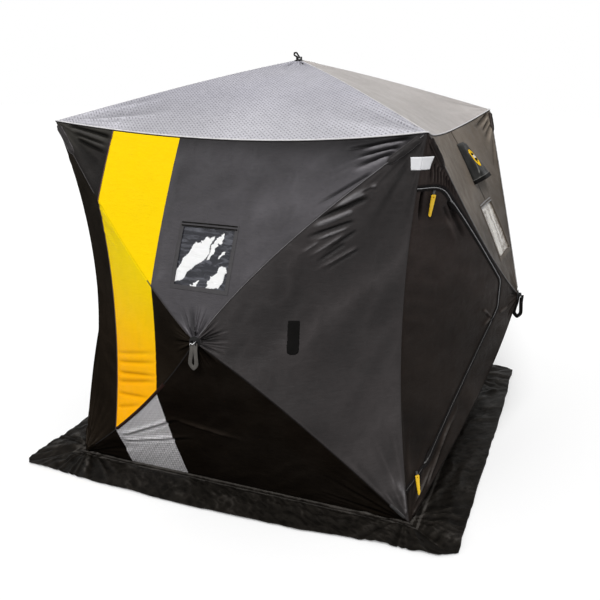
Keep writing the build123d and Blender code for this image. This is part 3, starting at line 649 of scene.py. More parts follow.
def wall_folds(kind, seed, side, height):
    """Pleats at a wall panel's two far corners, and crumpling of three sizes over it."""
    first, second = PANELS[kind].first.corner, PANELS[kind].second.corner
    lean = {"upper": 0.15, "left": -0.75, "right": 0.75, "lower": 0.1}[kind]
    lift = 0.0046 * crumple(side, height, 0.26, seed + 2, 3.0, lean)
    lift += 0.0024 * crumple(side, height, 0.085, seed + 3, 2.4, lean + 0.4)
    lift += 0.0009 * crumple(side, height, 0.036, seed + 6)
    for k, (corner, other) in enumerate(((first, second), (second, first))):
        way = np.arctan2(0.5 * (other[2] + HUB_HEIGHT) - corner[2], 0.5 * other[0] - corner[0])
        lift += fan(side, height, (corner[0], corner[2]), 0.04, 0.50, 44, 0.0070, seed + 4 + k, way, 0.8)
    return lift


def side_folds(kind, quarter, seed, side, height, lift):
    """The same cloth with the folds of a side panel, calm under its patch and near the door's zip."""
    hand = 1 if kind == "right" else -1
    doored = kind == "left" and quarter == DOOR_SIDE
    if doored or kind == "right" and quarter != FRONT:
        lift += pressed(side, height, PLEATS, hand)
    if not doored:
        lift += pressed(side, height, RIDGE_FOLDS, hand)
    lift += corner_folds(side, height, hand, seed + 80)
    middle = np.array(PATCH[hand]).mean(axis=0)
    off = np.maximum(np.abs(side - middle[0]) - 0.062, np.abs(height - middle[1]) - 0.027)
    lift *= 0.10 + 0.90 * ease(off, 0.0, 0.018)
    if doored:
        lift *= 0.25 + 0.75 * ease(distance_to(DOOR, side, height), 0.006, 0.030)
        lift += pressed(side, height, DOOR_FOLDS)
    return lift


def panel_folds(kind, quarter, share, across, side, height):
    """How far each point of a panel's cloth stands out from its smooth surface."""
    seed = 100 * quarter + {"upper": 10, "left": 20, "right": 30, "lower": 40, "roof": 50}[kind]
    panel = PANELS[kind]
    rise = height - (0 if kind == "roof" else HUB_HEIGHT)
    reach = np.hypot(side, rise)
    gather = lattice_noise(np.arctan2(rise, side) / (2 * pi) * 62 + 23, reach * 3 + 3, 7 + quarter)
    lift = 0.0130 * (0.40 - np.abs(gather) * 1.3) * ease(reach, 0.018, 0.034) * (1 - ease(reach, 0.060, 0.16))
    lift += roof_folds(quarter, seed, side, height) if kind == "roof" else wall_folds(kind, seed, side, height)
    if kind == "upper":
        lift += pressed(side, height, UPPER_FOLDS) + pressed(side, height, UPPER_FOLDS[:3] + UPPER_FOLDS[4:6], -1)
        clear = rectangle(-0.19, 1.04, 0.17, 1.40)
        lift *= ease(np.where(inside(clear, side, height), 0.0, distance_to(clear, side, height)), -0.02, 0.04)
    if kind in ("left", "right"):
        lift = side_folds(kind, quarter, seed, side, height, lift)
    if quarter == FRONT and kind == "lower":
        lift += pressed(side, height, FOOT_CREASES, 1, 0.5, 0.10) + pressed(side, height, FOOT_CRESTS, 1, 0.0, 0.10)
        lift += fold(side, height, (-0.250, 0.420), (0.180, 0.345), 0.012, 0.0080, 0.3)
    if quarter == FRONT and kind in ("upper", "left"):
        lift *= 1 - 0.80 * ease(side, BAND_LEFT - 0.04, BAND_LEFT) * ease(side, BAND_RIGHT + 0.04, BAND_RIGHT)
    if quarter == FRONT and kind == "left":
        lift += pressed(side, height, BAND_FOLDS)
    width = np.linalg.norm(panel.second.at(share) - panel.first.at(share), axis=1)
    length = np.linalg.norm(np.array(panel.first.corner) - np.array(panel.first.hub)) * 0.8
    rim = np.minimum(np.minimum(across, 1 - across) * width, (1 - share) * length)
    return lift * ease(rim, 0.0, 0.016)


def flat_triangle(rows):
    """A hub at the origin and a far edge at 1, split into even triangles."""
    cloth = bmesh.new()
    corners = [cloth.verts.new(place) for place in ((0, 0, 0), (-1, 1, 0), (1, 1, 0))]
    cloth.faces.new(corners)
    bmesh.ops.subdivide_edges(cloth, edges=cloth.edges[:], cuts=rows - 1, use_grid_fill=True)
    return cloth


def read_points(mesh):
    values = np.empty(len(mesh.vertices) * 3)
    mesh.vertices.foreach_get("co", values)
    return values.reshape(-1, 3)


def read_layer(mesh, name):
    values = np.empty(len(mesh.vertices))
    mesh.attributes[name].data.foreach_get("value", values)
    return values


def write_layer(mesh, name, values):
    mesh.attributes.new(name, "FLOAT", "POINT").data.foreach_set("value", values)


@contextmanager
def editing(mesh):
    """A mesh's editable form, written back to it when done."""
    shape = bmesh.new()
    shape.from_mesh(mesh)
    yield shape
    shape.to_mesh(mesh)
    shape.free()


def flat_grid(name, columns, rows, size):
    """A new mesh of faces in rows, from -size to size both ways."""
    mesh = bpy.data.meshes.new(name)
    with editing(mesh) as grid:
        bmesh.ops.create_grid(grid, x_segments=columns, y_segments=rows, size=size)
    return mesh


def cut_along(cloth, outline, flat_roof):
    """New edges in a panel's cloth along an outline that is seen square to the wall, or from above a roof."""
    margin = 0.022  # a little more than the widest face
    points = [Vector((x, z)) for x, z in outline]
    for start, end in zip(points, points[1:] + points[:1]):
        run = end - start
        length = run.length
        run.normalize()
        near = []
        for face in cloth.faces:
            centre = face.calc_center_median()
            offset = Vector((centre.x, centre.y if flat_roof else centre.z)) - start
            if abs(offset.x * run.y - offset.y * run.x) < margin and -margin < offset.dot(run) < length + margin:
                near.append(face)
        if not near:
            continue
        edges = {edge for face in near for edge in face.edges}
        verts = {vert for face in near for vert in face.verts}
        origin = (start.x, start.y, 0) if flat_roof else (start.x, 0, start.y)
        normal = (run.y, -run.x, 0) if flat_roof else (run.y, 0, -run.x)
        bmesh.ops.bisect_plane(cloth, geom=[*near, *edges, *verts], dist=2e-4, plane_co=origin, plane_no=normal)


def panel_cloth(kind, quarter, outlines):
    """A panel's folded cloth as a mesh, cut along its outlines but still in one piece."""
    finest = (kind, quarter) in (("upper", FRONT), ("right", FRONT), ("left", DOOR_SIDE))
    flat = flat_triangle(FINEST_ROWS if finest else FINE_ROWS if quarter in (FRONT, DOOR_SIDE) else ROWS)
    close = [edge for edge in flat.edges if max(vert.co.y for vert in edge.verts) < NEAR_HUB]
    bmesh.ops.subdivide_edges(flat, edges=close, cuts=2, use_grid_fill=True)
    bmesh.ops.triangulate(flat, faces=[face for face in flat.faces if len(face.verts) > 3])
    mesh = bpy.data.meshes.new(f"{kind}_{quarter}")
    flat.to_mesh(mesh)
    flat.free()
    points = read_points(mesh)
    share = points[:, 1]
    across = np.where(share > 1e-6, (points[:, 0] / np.maximum(share, 1e-6) + 1) / 2, 0.5)
    surface = PANELS[kind].at(share, across)
    mesh.vertices.foreach_set("co", surface.ravel())
    write_layer(mesh, "share", share)
    write_layer(mesh, "across", across)
    with editing(mesh) as cloth:
        for outline in outlines:
            cut_along(cloth, outline, kind == "roof")
    surface = read_points(mesh)
    share, across = read_layer(mesh, "share"), read_layer(mesh, "across")
    height = surface[:, 1] if kind == "roof" else surface[:, 2]
    lift = panel_folds(kind, quarter, share, across, surface[:, 0], height)
    # The fold height is kept for the materials' painted highlights on crests and painted shade in hollows.
    write_layer(mesh, "fold", np.clip(lift / FULL_CREST, -1, 1))
    surface = surface + outward_normals(PANELS[kind], np.maximum(share, 0.01), across) * lift[:, None]
    mesh.vertices.foreach_set("co", surface.ravel())
    mesh.update()
    return mesh


def face_out(cloth, away):
    """Turns a piece's faces so that they look away from a point."""
    wrong = [f for f in cloth.faces if f.normal.dot(f.calc_center_median() - away) < 0]
    bmesh.ops.reverse_faces(cloth, faces=wrong)


def new_piece(name, mesh, material):
    mesh.materials.clear()
    mesh.materials.append(material)
    piece = bpy.data.objects.new(name, mesh)
    bpy.context.scene.collection.objects.link(piece)
    return piece


def soft_shade(mesh):
    mesh.polygons.foreach_set("use_smooth", np.ones(len(mesh.polygons), bool))
    mesh.update()


def lay_out(mesh, points):
    """The cut's own coordinates in metres, for the weave to follow."""
    layer = mesh.uv_layers.new(name="cut") if "cut" not in mesh.uv_layers else mesh.uv_layers["cut"]
    corners = np.empty(len(mesh.loops), int)
    mesh.loops.foreach_get("vertex_index", corners)
    layer.data.foreach_set("uv", points[corners].ravel())


def thicken(piece, thickness, offset=-1.0):
    solid = piece.modifiers.new("thickness", "SOLIDIFY")
    solid.thickness = thickness
    solid.offset = offset
    solid.use_even_offset = False
    return piece


def cloth_piece(name, whole, quarter, keep, material, lift=0.0, thickness=CLOTH, roof=False):
    """One piece out of a panel's cloth: the faces whose centres keep() accepts."""
    mesh = whole.copy()
    mesh.name = name
    with editing(mesh) as cloth:
        cloth.faces.ensure_lookup_table()
        face_out(cloth, MIDDLE)
        centres = np.array([face.calc_center_median() for face in cloth.faces])
        kept = keep(centres[:, 0], centres[:, 1 if roof else 2])
        cloth.normal_update()
        for vert in cloth.verts:
            vert.co += vert.normal * lift
        unwanted = [face for face, wanted in zip(cloth.faces, kept) if not wanted]
        bmesh.ops.delete(cloth, geom=unwanted, context="FACES")
    points = read_points(mesh)
    lay_out(mesh, points[:, (0, 1 if roof else 2)])
    mesh.vertices.foreach_set("co", turned(points, quarter).ravel())
    soft_shade(mesh)
    return thicken(new_piece(name, mesh, material), thickness)


def keep_all(side, height):
    return np.ones(len(side), bool)


def declare(piece, slot, *nodes):
    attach(piece, "shelter")
    if nodes:
        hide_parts(*nodes)
    return piece


def sewn(slot, nodes, name, whole, quarter, keep, material, lift=0.0, thickness=CLOTH, roof=False):
    """A declared piece of a panel's cloth, or of something that lies on it or behind it."""
    piece = declare(cloth_piece(name, whole, quarter, keep, material, lift, thickness, roof), slot, *nodes)
    return piece if lift else sheet(piece)


# ------------------------------------------------------------------------- materials
# One black fabric for all walls: its copies below differ in colour as painted light and shade. This upper copy is
# lighter as painted light from above and darker towards the top as painted shade under the eave; the light crest colour
# is a painted highlight.
BLACK_UPPER = finish_cloth(
    "black_cloth_upper", (0.0105, 0.0095, 0.0105), (0.0125, 0.0115, 0.0125), 0.42, 0.13,
    low_colour=(0.0475, 0.0445, 0.0485), low=1.605, high=1.715, crest_highlight=(0.165, 0.158, 0.168),
)
# A darker copy of the upper cloth for the front corner beyond the band: painted shade, a little lighter towards the
# top; the light crest colour is a painted highlight.
BLACK_CORNER = finish_cloth(
    "black_cloth_corner", (0.0230, 0.0215, 0.0185), (0.0270, 0.0255, 0.0225), 0.44, 0.05,
    low_colour=(0.0085, 0.0075, 0.0070), low=1.60, high=1.71, crest_highlight=(0.045, 0.043, 0.041),
)
# The door wall's upper cloth: its warm brown tint and lightness are painted warm light, and it turns darker towards the
# bottom as painted shade.
WARM_UPPER = finish_cloth(
    "door_wall_upper_cloth", (0.135, 0.112, 0.090), (0.155, 0.132, 0.108), 0.50, 0.05, relief=0.7,
    low_colour=(0.060, 0.050, 0.042), low=1.1, high=1.65,
)
# A lighter copy of the black cloth for panels that face the light: painted light; the light crest colour is a painted
# highlight.
BLACK_RIGHT = finish_cloth(
    "black_cloth_right", (0.0290, 0.0255, 0.0255), (0.034, 0.031, 0.031), 0.42, 0.12, crest_highlight=(0.165, 0.160, 0.165)
)
# A darker copy of the black cloth for left-hand panels: painted shade, darker still towards the bottom; the light crest
# colour is a faint painted highlight.
BLACK_LEFT = finish_cloth(
    "black_cloth_left", (0.0190, 0.0160, 0.0130), (0.0220, 0.0190, 0.0155), 0.50, 0.0,
    low_colour=(0.0105, 0.0078, 0.0055), low=0.70, high=1.60, crest_highlight=(0.036, 0.032, 0.028),
)
# The door side's copy of the black cloth, set between the left and right copies as painted light and shade, and darker
# towards the bottom as painted shade; the light crest colour is a painted highlight.
BLACK_DOOR = finish_cloth(
    "black_cloth_door", (0.0230, 0.0175, 0.0160), (0.029, 0.023, 0.0215), 0.46, 0.04,
    low_colour=(0.0125, 0.0095, 0.0080), low=0.7, high=1.5, crest_highlight=(0.060, 0.054, 0.050),
)
# The darkest copy of the black cloth, for the lower panels that face down: painted shade.
BLACK_LOWER = finish_cloth("black_cloth_lower", (0.0058, 0.0042, 0.0030), (0.0085, 0.0068, 0.0055), 0.58, 0.0)
# Lighter towards the eaves: painted light.
SILVER = finish_cloth(
    "silver_cloth", (0.378, 0.372, 0.416), (0.408, 0.400, 0.442), 0.50, 0.20, 0.7, 0.55, 0.68,
    low_colour=(0.462, 0.455, 0.490), low=1.72, high=1.90,
)
# A lighter copy of the silver cloth for the band's foot on the lower panel, which faces down: painted light that
# offsets its shade.
SILVER_FOOT = finish_cloth(
    "silver_foot_cloth", (0.60, 0.585, 0.60), (0.64, 0.625, 0.64), 0.50, 0.20, 0.7, 0.42, 1.0, thick=0.34
)
# The right roof's silver cloth, without quilting; its warm tint is painted warm light.
SILVER_PLAIN = finish_cloth("silver_cloth_plain", (0.375, 0.348, 0.334), (0.42, 0.396, 0.382), 0.50, 0.25, 0.7, 0.5)
# More orange and darker towards the bottom: painted shade.
YELLOW = finish_cloth(
    "yellow_cloth", (0.97, 0.70, 0.001), (0.98, 0.72, 0.002), 0.55, 0.04, 0.5, 0.30,
    low_colour=(0.95, 0.42, 0.001), low=0.50, high=1.25,
)
# A darker copy of the yellow cloth for the band on the upper panel, offsetting the stronger light there: painted shade.
YELLOW_HIGH = finish_cloth("yellow_cloth_high", (0.83, 0.56, 0.0008), (0.85, 0.585, 0.001), 0.55, 0.04, 0.5, 0.22)
# The light crest colour is a painted highlight on the skirt's crumples, with painted shade in their hollows.
SKIRT = finish_cloth(
    "skirt_cloth", (0.0085, 0.0074, 0.0062), (0.0125, 0.0108, 0.0092), 0.40, 0.03, crest_highlight=(0.060, 0.055, 0.050)
)
TRIM_BLACK = finish_webbing("black_trim", (0.0055, 0.0050, 0.0048))
# Grey like the lighter lower part of the upper cloth: painted light.
HEM_GREY = finish_cloth("window_hem_cloth", (0.041, 0.039, 0.041), (0.050, 0.048, 0.050), 0.50, 0.13)
# Warm tint like the door wall's upper cloth: painted warm light.
HEM_WARM = finish_cloth("door_wall_hem_cloth", (0.085, 0.070, 0.057), (0.105, 0.088, 0.072), 0.50, 0.05)
# The light crest colour is a painted highlight on the hood's rim and creases.
HOOD_CLOTH = finish_cloth(
    "vent_hood_cloth", (0.0165, 0.0165, 0.0155), (0.0200, 0.0200, 0.0190), 0.46, 0.06, crest_highlight=(0.150, 0.150, 0.140)
)
ZIP_DARK = finish_webbing("zip_tape", (0.010, 0.009, 0.009))
# Light grey on the upper part of the door's zip and dark below: painted highlight along the upper coil.
ZIP_COIL = finish_cloth(
    "zip_coil", (0.23, 0.23, 0.235), (0.32, 0.32, 0.33), 0.40, 0.30,
    low_colour=(0.030, 0.028, 0.027), low=0.72, high=1.0,
)
BAND_PIPING = finish_moulding("band_piping", (0.045, 0.008, 0.005), (0.08, 0.016, 0.010), 0.6)
TAB_WHITE = finish_webbing("plain_tab", (0.80, 0.78, 0.74), 300.0)
BINDING = finish_webbing("seam_tape", (0.012, 0.0105, 0.010))
BAND_FOOT_TAPE = finish_webbing("band_foot_tape", (0.016, 0.006, 0.0045))
# Pale stitching; along the high ridges its pale grey also stands for the highlight on the ridge: painted highlight.
SEAM_THREAD = finish_moulding("seam_thread", (0.125, 0.120, 0.125), (0.19, 0.185, 0.19), 0.45)
POCKET_PALE = finish_cloth("pocket_cloth", (0.058, 0.056, 0.056), (0.075, 0.073, 0.073), 0.50, 0.05)
STRAP_WEB = finish_webbing("strap_webbing", (0.105, 0.098, 0.090))
HUB_STEEL = finish_moulding("hub_steel", (0.75, 0.75, 0.76), (0.85, 0.85, 0.86), 0.18, Metallic=1.0)
PALE_EDGE = finish_moulding("pale_edge", (0.62, 0.61, 0.62), (0.70, 0.69, 0.70), 0.5)
# Where the front and back windows show painted reflections: middle, angle, length and width of each streak.
STREAKS = (
    ((-0.072, 1.208), 50, 0.136, 0.031),
    ((0.026, 1.268), 56, 0.064, 0.014),
    ((0.058, 1.140), 52, 0.058, 0.025),
    ((-0.052, 1.112), 30, 0.020, 0.007),
    ((0.066, 1.235), 62, 0.022, 0.006),
)
# The same for the windows on the vent walls.
WIDE_STREAKS = (((-0.040, 1.19), 78, 0.150, 0.038), ((0.052, 1.25), 80, 0.13, 0.015))
# The front and back windows' film: a dark tone as painted shade for the unlit inside, with pale painted reflections.
VINYL = finish_vinyl("clear_vinyl", STREAKS, (0.012, 0.013, 0.020), (0.115, 0.118, 0.140), (0.92, 0.92, 0.92))
# Lighter, whitish-brown film tones on the vent walls' windows: painted reflection.
VINYL_BRIGHT = finish_vinyl(
    "clear_vinyl_bright", WIDE_STREAKS, (0.26, 0.215, 0.17), (0.70, 0.65, 0.58), (0.80, 0.77, 0.72)
)
REFLECTIVE = finish_moulding("reflective_patch", (0.93, 0.93, 0.96), (0.97, 0.97, 0.98), 0.35, 60.0, 0.5)
YELLOW_RUBBER = finish_moulding("yellow_rubber", (0.86, 0.52, 0.01), (0.90, 0.60, 0.03), 0.45)
YELLOW_WEBBING = finish_webbing("yellow_webbing", (0.98, 0.60, 0.01))
ROD_BLACK = finish_moulding("rod_black", (0.012, 0.012, 0.013), (0.03, 0.03, 0.032), 0.22, Coat_Weight=0.4)
HUB_PLASTIC = finish_moulding(
    "hub_plastic", (0.005, 0.005, 0.005), (0.012, 0.012, 0.012), 0.45, Specular_IOR_Level=0.15
)
BOOT_RUBBER = finish_moulding("boot_rubber", (0.02, 0.02, 0.02), (0.04, 0.04, 0.04), 0.65)
SLIDER_METAL = finish_moulding("slider_metal", (0.035, 0.035, 0.037), (0.10, 0.10, 0.10), 0.3, Metallic=0.7)
MESH = finish_webbing("vent_mesh", (0.03, 0.03, 0.03), 500.0)


# ----------------------------------------------------------------------- the pieces
def within(outline):
    return lambda side, height: inside(outline, side, height)


def outside(*outlines):
    return lambda side, height: ~np.any([inside(o, side, height) for o in outlines], axis=0)


def between(outer, inner, *also_out):
    return lambda side, height: inside(outer, side, height) & outside(inner, *also_out)(side, height)


def make_upper(quarter):
    """A wall's upper panel with its window, and its vent and seam where it has them."""
    wall = WALL_NAMES[quarter]
    front, doored, vented = quarter == FRONT, quarter == DOOR_SIDE, quarter in (DOOR_SIDE, FAR_SIDE)
    film, hem, lap, tops = window_lines(quarter)
    extra = [VENT_HOLE, VENT_SEAM] * vented + [BAND, PIPING] * front
    upper = panel_cloth("upper", quarter, [film, hem, lap, *tops, *extra])
    keep = outside(film, *[VENT_HOLE] * vented, *[BAND] * front)
    main = (lambda side, height: keep(side, height) & (side > BAND_LEFT)) if front else keep
    # The door wall's upper cloth is warmer and lighter, as painted warm light.
    material = WARM_UPPER if doored else BLACK_UPPER
    sewn("black_cloth", [f"{wall}_upper_panel"], f"{wall}_upper_cloth", upper, quarter, main, material)
    if front:
        # The corner beyond the band takes the darker copy of the cloth, as painted shade.
        name = "front_upper_corner_cloth"
        beyond = lambda side, height: side < BAND_LEFT
        sewn("black_cloth", ["front_upper_panel"], name, upper, quarter, beyond, BLACK_CORNER)
        name = "yellow_band_upper_cloth"
        sewn("yellow_cloth", ["yellow_band_upper"], name, upper, quarter, within(BAND), YELLOW_HIGH)
        sewn("black_trim", [], "band_piping_upper", upper, quarter, within(PIPING), BAND_PIPING, *PIPING_LIE)
    rim, cloth = between(hem, film), HEM_WARM if doored else HEM_GREY
    sewn("black_trim", ["window_frames"], f"{wall}_window_frame", upper, quarter, rim, cloth, *TRIM_LIE)
    for index, line in enumerate(tops):
        name, trim = f"{wall}_window_top_{index}", SEAM_THREAD if doored else TRIM_BLACK
        sewn("black_trim", [], name, upper, quarter, within(line), trim, *STITCH_LIE)
    name, film_kind = f"{wall}_window_pane", VINYL_BRIGHT if vented else VINYL
    sewn("clear_vinyl", ["window_panes"], name, upper, quarter, within(lap), film_kind, *BEHIND)
    if vented:
        name = f"{wall}_vent_screen"
        sewn("mesh", ["vent_screens"], name, upper, quarter, within(VENT), MESH, *BEHIND)
        seam = between(VENT_SEAM, VENT_HOLE)
        sewn("black_trim", [], f"{wall}_vent_seam", upper, quarter, seam, TRIM_BLACK, *SEAM_LIE)


def make_side(quarter, kind, hand):
    """The panel between a wall's hub and one of its corners, with what is sewn to it."""
    wall = WALL_NAMES[quarter]
    banded = kind == "left" and quarter == FRONT
    doored = kind == "left" and quarter == DOOR_SIDE
    fastened = kind == "right" and quarter == FRONT
    patched = hand == (1 if quarter in (FRONT, BACK) else -1)
    outlines = [PATCH[hand]] * patched + [BAND, PIPING] * banded + [STRIP] * fastened + DOOR_LINES * doored
    whole = panel_cloth(kind, quarter, outlines)
    # Copies of the black cloth chosen by which way the panel faces: painted light and shade.
    material = BLACK_DOOR if quarter == DOOR_SIDE else BLACK_RIGHT if fastened or quarter == BACK else BLACK_LEFT
    keep = outside(BAND) if banded else outside(DOOR_LINES[3]) if doored else keep_all
    node = "door_surround" if doored else f"{wall}_{kind}_panel"
    sewn("black_cloth", [node], f"{wall}_{kind}_cloth", whole, quarter, keep, material)
    if banded:
        name = "yellow_band_side_cloth"
        sewn("yellow_cloth", ["yellow_band_side"], name, whole, quarter, within(BAND), YELLOW)
        sewn("black_trim", [], "band_piping_side", whole, quarter, within(PIPING), BAND_PIPING, *PIPING_LIE)
    if fastened:
        name = "fastening_strip_web"
        sewn("black_trim", ["fastening_strip"], name, whole, quarter, within(STRIP), TRIM_BLACK, *TRIM_LIE)
    if doored:
        make_door(whole)
    if patched:
        name, patch = f"{wall}_corner_patch", within(PATCH[hand])
        sewn("reflective_patch", ["corner_patches"], name, whole, quarter, patch, REFLECTIVE, *TRIM_LIE)


def make_wall(quarter):
    make_upper(quarter)
    make_side(quarter, "left", -1)
    make_side(quarter, "right", 1)
    wall, banded = WALL_NAMES[quarter], quarter == FRONT
    lower = panel_cloth("lower", quarter, [BAND] * banded)
    keep = outside(BAND) if banded else keep_all
    sewn("black_cloth", [f"{wall}_lower_panel"], f"{wall}_lower_cloth", lower, quarter, keep, BLACK_LOWER)
    if banded:
        name = "silver_foot_cloth"
        sewn("silver_cloth", ["silver_band_foot"], name, lower, quarter, within(BAND), SILVER_FOOT)


def sheet(piece):
    """Works out the size of the cut that a panel was sewn from, and returns the panel as it is; the size is not kept.
    """
    area = sum(face.area for face in piece.data.polygons)
    spread = [float(length) for length in np.ptp(read_points(piece.data), axis=0)]
    if spread[2] > 0.5:
        length, width = max(spread[2], min(spread[:2])), float(np.hypot(*sorted(spread)[:2]))
    else:
        length, width = max(spread[:2]), min(spread[:2]) * 1.06
    most, least = 0.95, 0.35  # of its cut's rectangle that a panel may fill
    width = float(np.clip(width, area / length / most, area / length / least))
    return piece


def make_door(whole):
    """The door leaf and the two sides of its zip, sewn to the wall along the corner seam."""
    outline, leaf_edge, coil_edge, gap, wall_edge = DOOR_LINES
    leaf = cloth_piece("door_cloth", whole, DOOR_SIDE, within(outline), BLACK_DOOR)
    tape = cloth_piece("door_zip_web", whole, DOOR_SIDE, between(outline, leaf_edge), ZIP_DARK, *TAPE_LIE)
    coil = cloth_piece("door_zip_coil", whole, DOOR_SIDE, between(coil_edge, outline), ZIP_COIL, *COIL_LIE)
    for piece, slot, nodes in (
        (leaf, "black_cloth", ["door_panel"]), (tape, "black_trim", ["door_zip_tape"]), (coil, "black_trim", []),
    ):
        if nodes:
            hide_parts(*nodes)
        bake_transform(piece)
    sheet(leaf)
    fixed = between(wall_edge, gap)
    sewn("black_trim", ["wall_zip_tape"], "wall_zip_web", whole, DOOR_SIDE, fixed, ZIP_DARK, *TAPE_LIE)


def make_roof(quarter):
    name = ("front", "right", "back", "left")[quarter]
    whole = panel_cloth("roof", quarter, [ROOF_END] if quarter in (FRONT, BACK) else [])
    material = SILVER_PLAIN if quarter == DOOR_SIDE else SILVER
    sewn("silver_cloth", [f"roof_{name}_panel"], f"roof_{name}_cloth", whole, quarter, keep_all, material, roof=True)


def line_piece(name, points, radius, material, slot):
    """A sewn cord or binding that follows a seam."""
    data = bpy.data.curves.new(name, "CURVE")
    data.dimensions = "3D"
    data.bevel_depth = radius
    data.bevel_resolution = 2
    data.use_fill_caps = True
    spline = data.splines.new("POLY")
    spline.points.add(len(points) - 1)
    for point, place in zip(spline.points, points):
        point.co = (*place, 1)
    data.materials.append(material)
    piece = bpy.data.objects.new(name, data)
    bpy.context.scene.collection.objects.link(piece)
    return declare(piece, slot)


RIDGES = {
    "high_left": (HIGH_LEFT, ("upper", 0), ("left", 0)),
    "high_right": (HIGH_RIGHT, ("upper", 1), ("right", 0)),
    "low_left": (LOW_LEFT, ("left", 1), ("lower", 0)),
    "low_right": (LOW_RIGHT, ("right", 1), ("lower", 1)),
}


def beside_ridge(kind, edge, share, away):
    """Points on a panel, away from one of its ridges, and the ways out from the cloth there."""
    panel = PANELS[kind]
    width = np.linalg.norm(panel.second.at(share) - panel.first.at(share), axis=1)
    across = np.abs(edge - away / width)
    return panel.at(share, across), outward_normals(panel, share, across)


def seam_tape(name, quarter, ridge_name, start, end, width, material, lift):
    """A tape folded over a ridge, half on each of the two panels sewn together there."""
    _, first, second = RIDGES[ridge_name]

    def place(u, v):
        share = start + (end - start) * u
        away = np.abs(v - 0.5) * width
        (one, one_out), (two, two_out) = (beside_ridge(*side, share, away) for side in (first, second))
        return np.where((v < 0.5)[:, None], one, two) + unit(one_out + two_out) * lift

    tape = grid_piece(name, 90, 8, place, material, ((end - start) * RIDGE_LENGTH, width), quarter)
    with editing(tape.data) as cloth:
        face_out(cloth, MIDDLE)
    return declare(thicken(tape, RIDGE_TAPE_THICK), "black_trim")


def rod_pocket(name, quarter, ridge_name, start, end, radius, material):
    """A sleeve of cloth sewn over the end of a rod: round, shut at both ends, soft along its sides."""
    ridge, first, second = RIDGES[ridge_name]

    def place(u, v):
        share = start + (end - start) * u
        centre = ridge.at(share)
        run = unit(ridge.at(share + 1e-3) - centre)
        near = np.full(len(u), 0.03)
        out = unit(beside_ridge(*first, share, near)[1] + beside_ridge(*second, share, near)[1])
        girth = radius * (ease(u, -0.05, 0.22) * (1 - ease(u, 0.90, 1.0))) ** 0.6
        girth = girth * (1 + 0.10 * lattice_noise(u * 6 + 20, v * 3 + 20, 31 + quarter))
        up, beside = girth * np.cos(v * 2 * pi) - 0.004, girth * 1.15 * np.sin(v * 2 * pi)
        return offset(centre, (up, out), (beside, np.cross(run, out)))

    # Painted highlights along two lines of the sleeve and painted shade over the rest, through the fold attribute.
    def crests(u, v):
        edges = np.exp(-(((np.abs(v - 0.5) - 0.27) / 0.035) ** 2))
        return 1.3 * edges - 0.55 + 0.5 * crumple(u * 0.3, v * 0.1, 0.05, 33 + quarter, 2.0, 0.3)

    flat_size = ((end - start) * RIDGE_LENGTH, 2 * pi * radius)
    sleeve = grid_piece(name, 48, 32, place, material, flat_size, quarter, closed=True, crests=crests)
    with editing(sleeve.data) as cloth:
        bmesh.ops.recalc_face_normals(cloth, faces=cloth.faces[:])
    declare(sleeve, "black_cloth")


def make_seams(quarter):
    """The tapes, stitching and rod pockets on a wall's ridges, and the edges of the roof over it."""
    wall = WALL_NAMES[quarter]
    run = np.linspace(0.03, 0.985, 48)
    for name, (ridge, *_) in RIDGES.items():
        high = name.startswith("high")
        banded = quarter == FRONT and name == "high_left"
        for index, (start, end) in enumerate(((0.04, 0.285), (0.672, 0.985)) if banded else ((0.04, 0.985),)):
            tape = f"{wall}_{name}_tape_{index}"
            # High ridges take the lighter copy of the black cloth for their tapes, as painted light.
            seam_tape(tape, quarter, name, start, end, 0.008, BLACK_RIGHT if high else BINDING, 0.0014)
        if high and not banded:
            stitch = turned(ridge.at(run) + (0, -0.0030, 0.0010), quarter)
            line_piece(f"{wall}_{name}_thread", stitch, 0.0011, SEAM_THREAD, "black_trim")
        pale = quarter == FRONT and name == "low_right"
        # The same for the pockets: lighter on the high ridges as painted light, the door side's own copy there.
        cloth = BLACK_RIGHT if high else BLACK_LEFT
        cloth = POCKET_PALE if pale else BLACK_DOOR if quarter == DOOR_SIDE else cloth
        start, girth = (0.845, 0.0135) if high else (0.890, 0.0065 if pale else 0.010)
        rod_pocket(f"{wall}_{name}_pocket", quarter, name, start, 0.978, girth, cloth)
    edge = PANELS["roof"].at(np.full(64, 0.999), np.linspace(0, 1, 64))
    for name, line, radius, material, slot in (
        ("roof_seam", ROOF_LEFT.at(run), 0.0016, PALE_EDGE, "silver_cloth"),
        ("eave_edge", edge + (0, -0.002, 0.002), 0.0034, PALE_EDGE, "silver_cloth"),
        ("eave_shadow", edge + (0, -0.0015, -0.0035), 0.0030, BINDING, "black_trim"),
    ):
        line_piece(f"{wall}_{name}", turned(line, quarter), radius, material, slot)
    if quarter == FRONT:
        seam_tape("band_foot_tape", quarter, "low_left", 0.26, 0.685, 0.024, BAND_FOOT_TAPE, 0.0030)


# ----------------------------------------------------------------------------- skirt
CORNER_CUTS = (0.030, 0.064, 0.030, 0.045)
# How far the skirt's outer edge runs out past a straight line, at points along each wall.
SKIRT_BOWS = (
    ((-1.12, -0.62, -0.13, 0.14, 0.43, 0.76, 1.10), (-0.007, 0.029, 0.043, 0.039, 0.024, -0.012, -0.025)),
    ((-1.10, -0.55, 0.27, 1.10), (0.030, 0.024, 0.040, 0.032)),
    ((-1.10, 1.10), (0.0, 0.0)),
    ((-1.10, 1.10), (0.0, 0.0)),
)
SKIRT_IN, SKIRT_WIDE, SKIRT_HEMS = BASE_HALF - 0.020, 0.242, (0.034, 0.062)
FAR_BELOW = Vector((0, 0, -5))


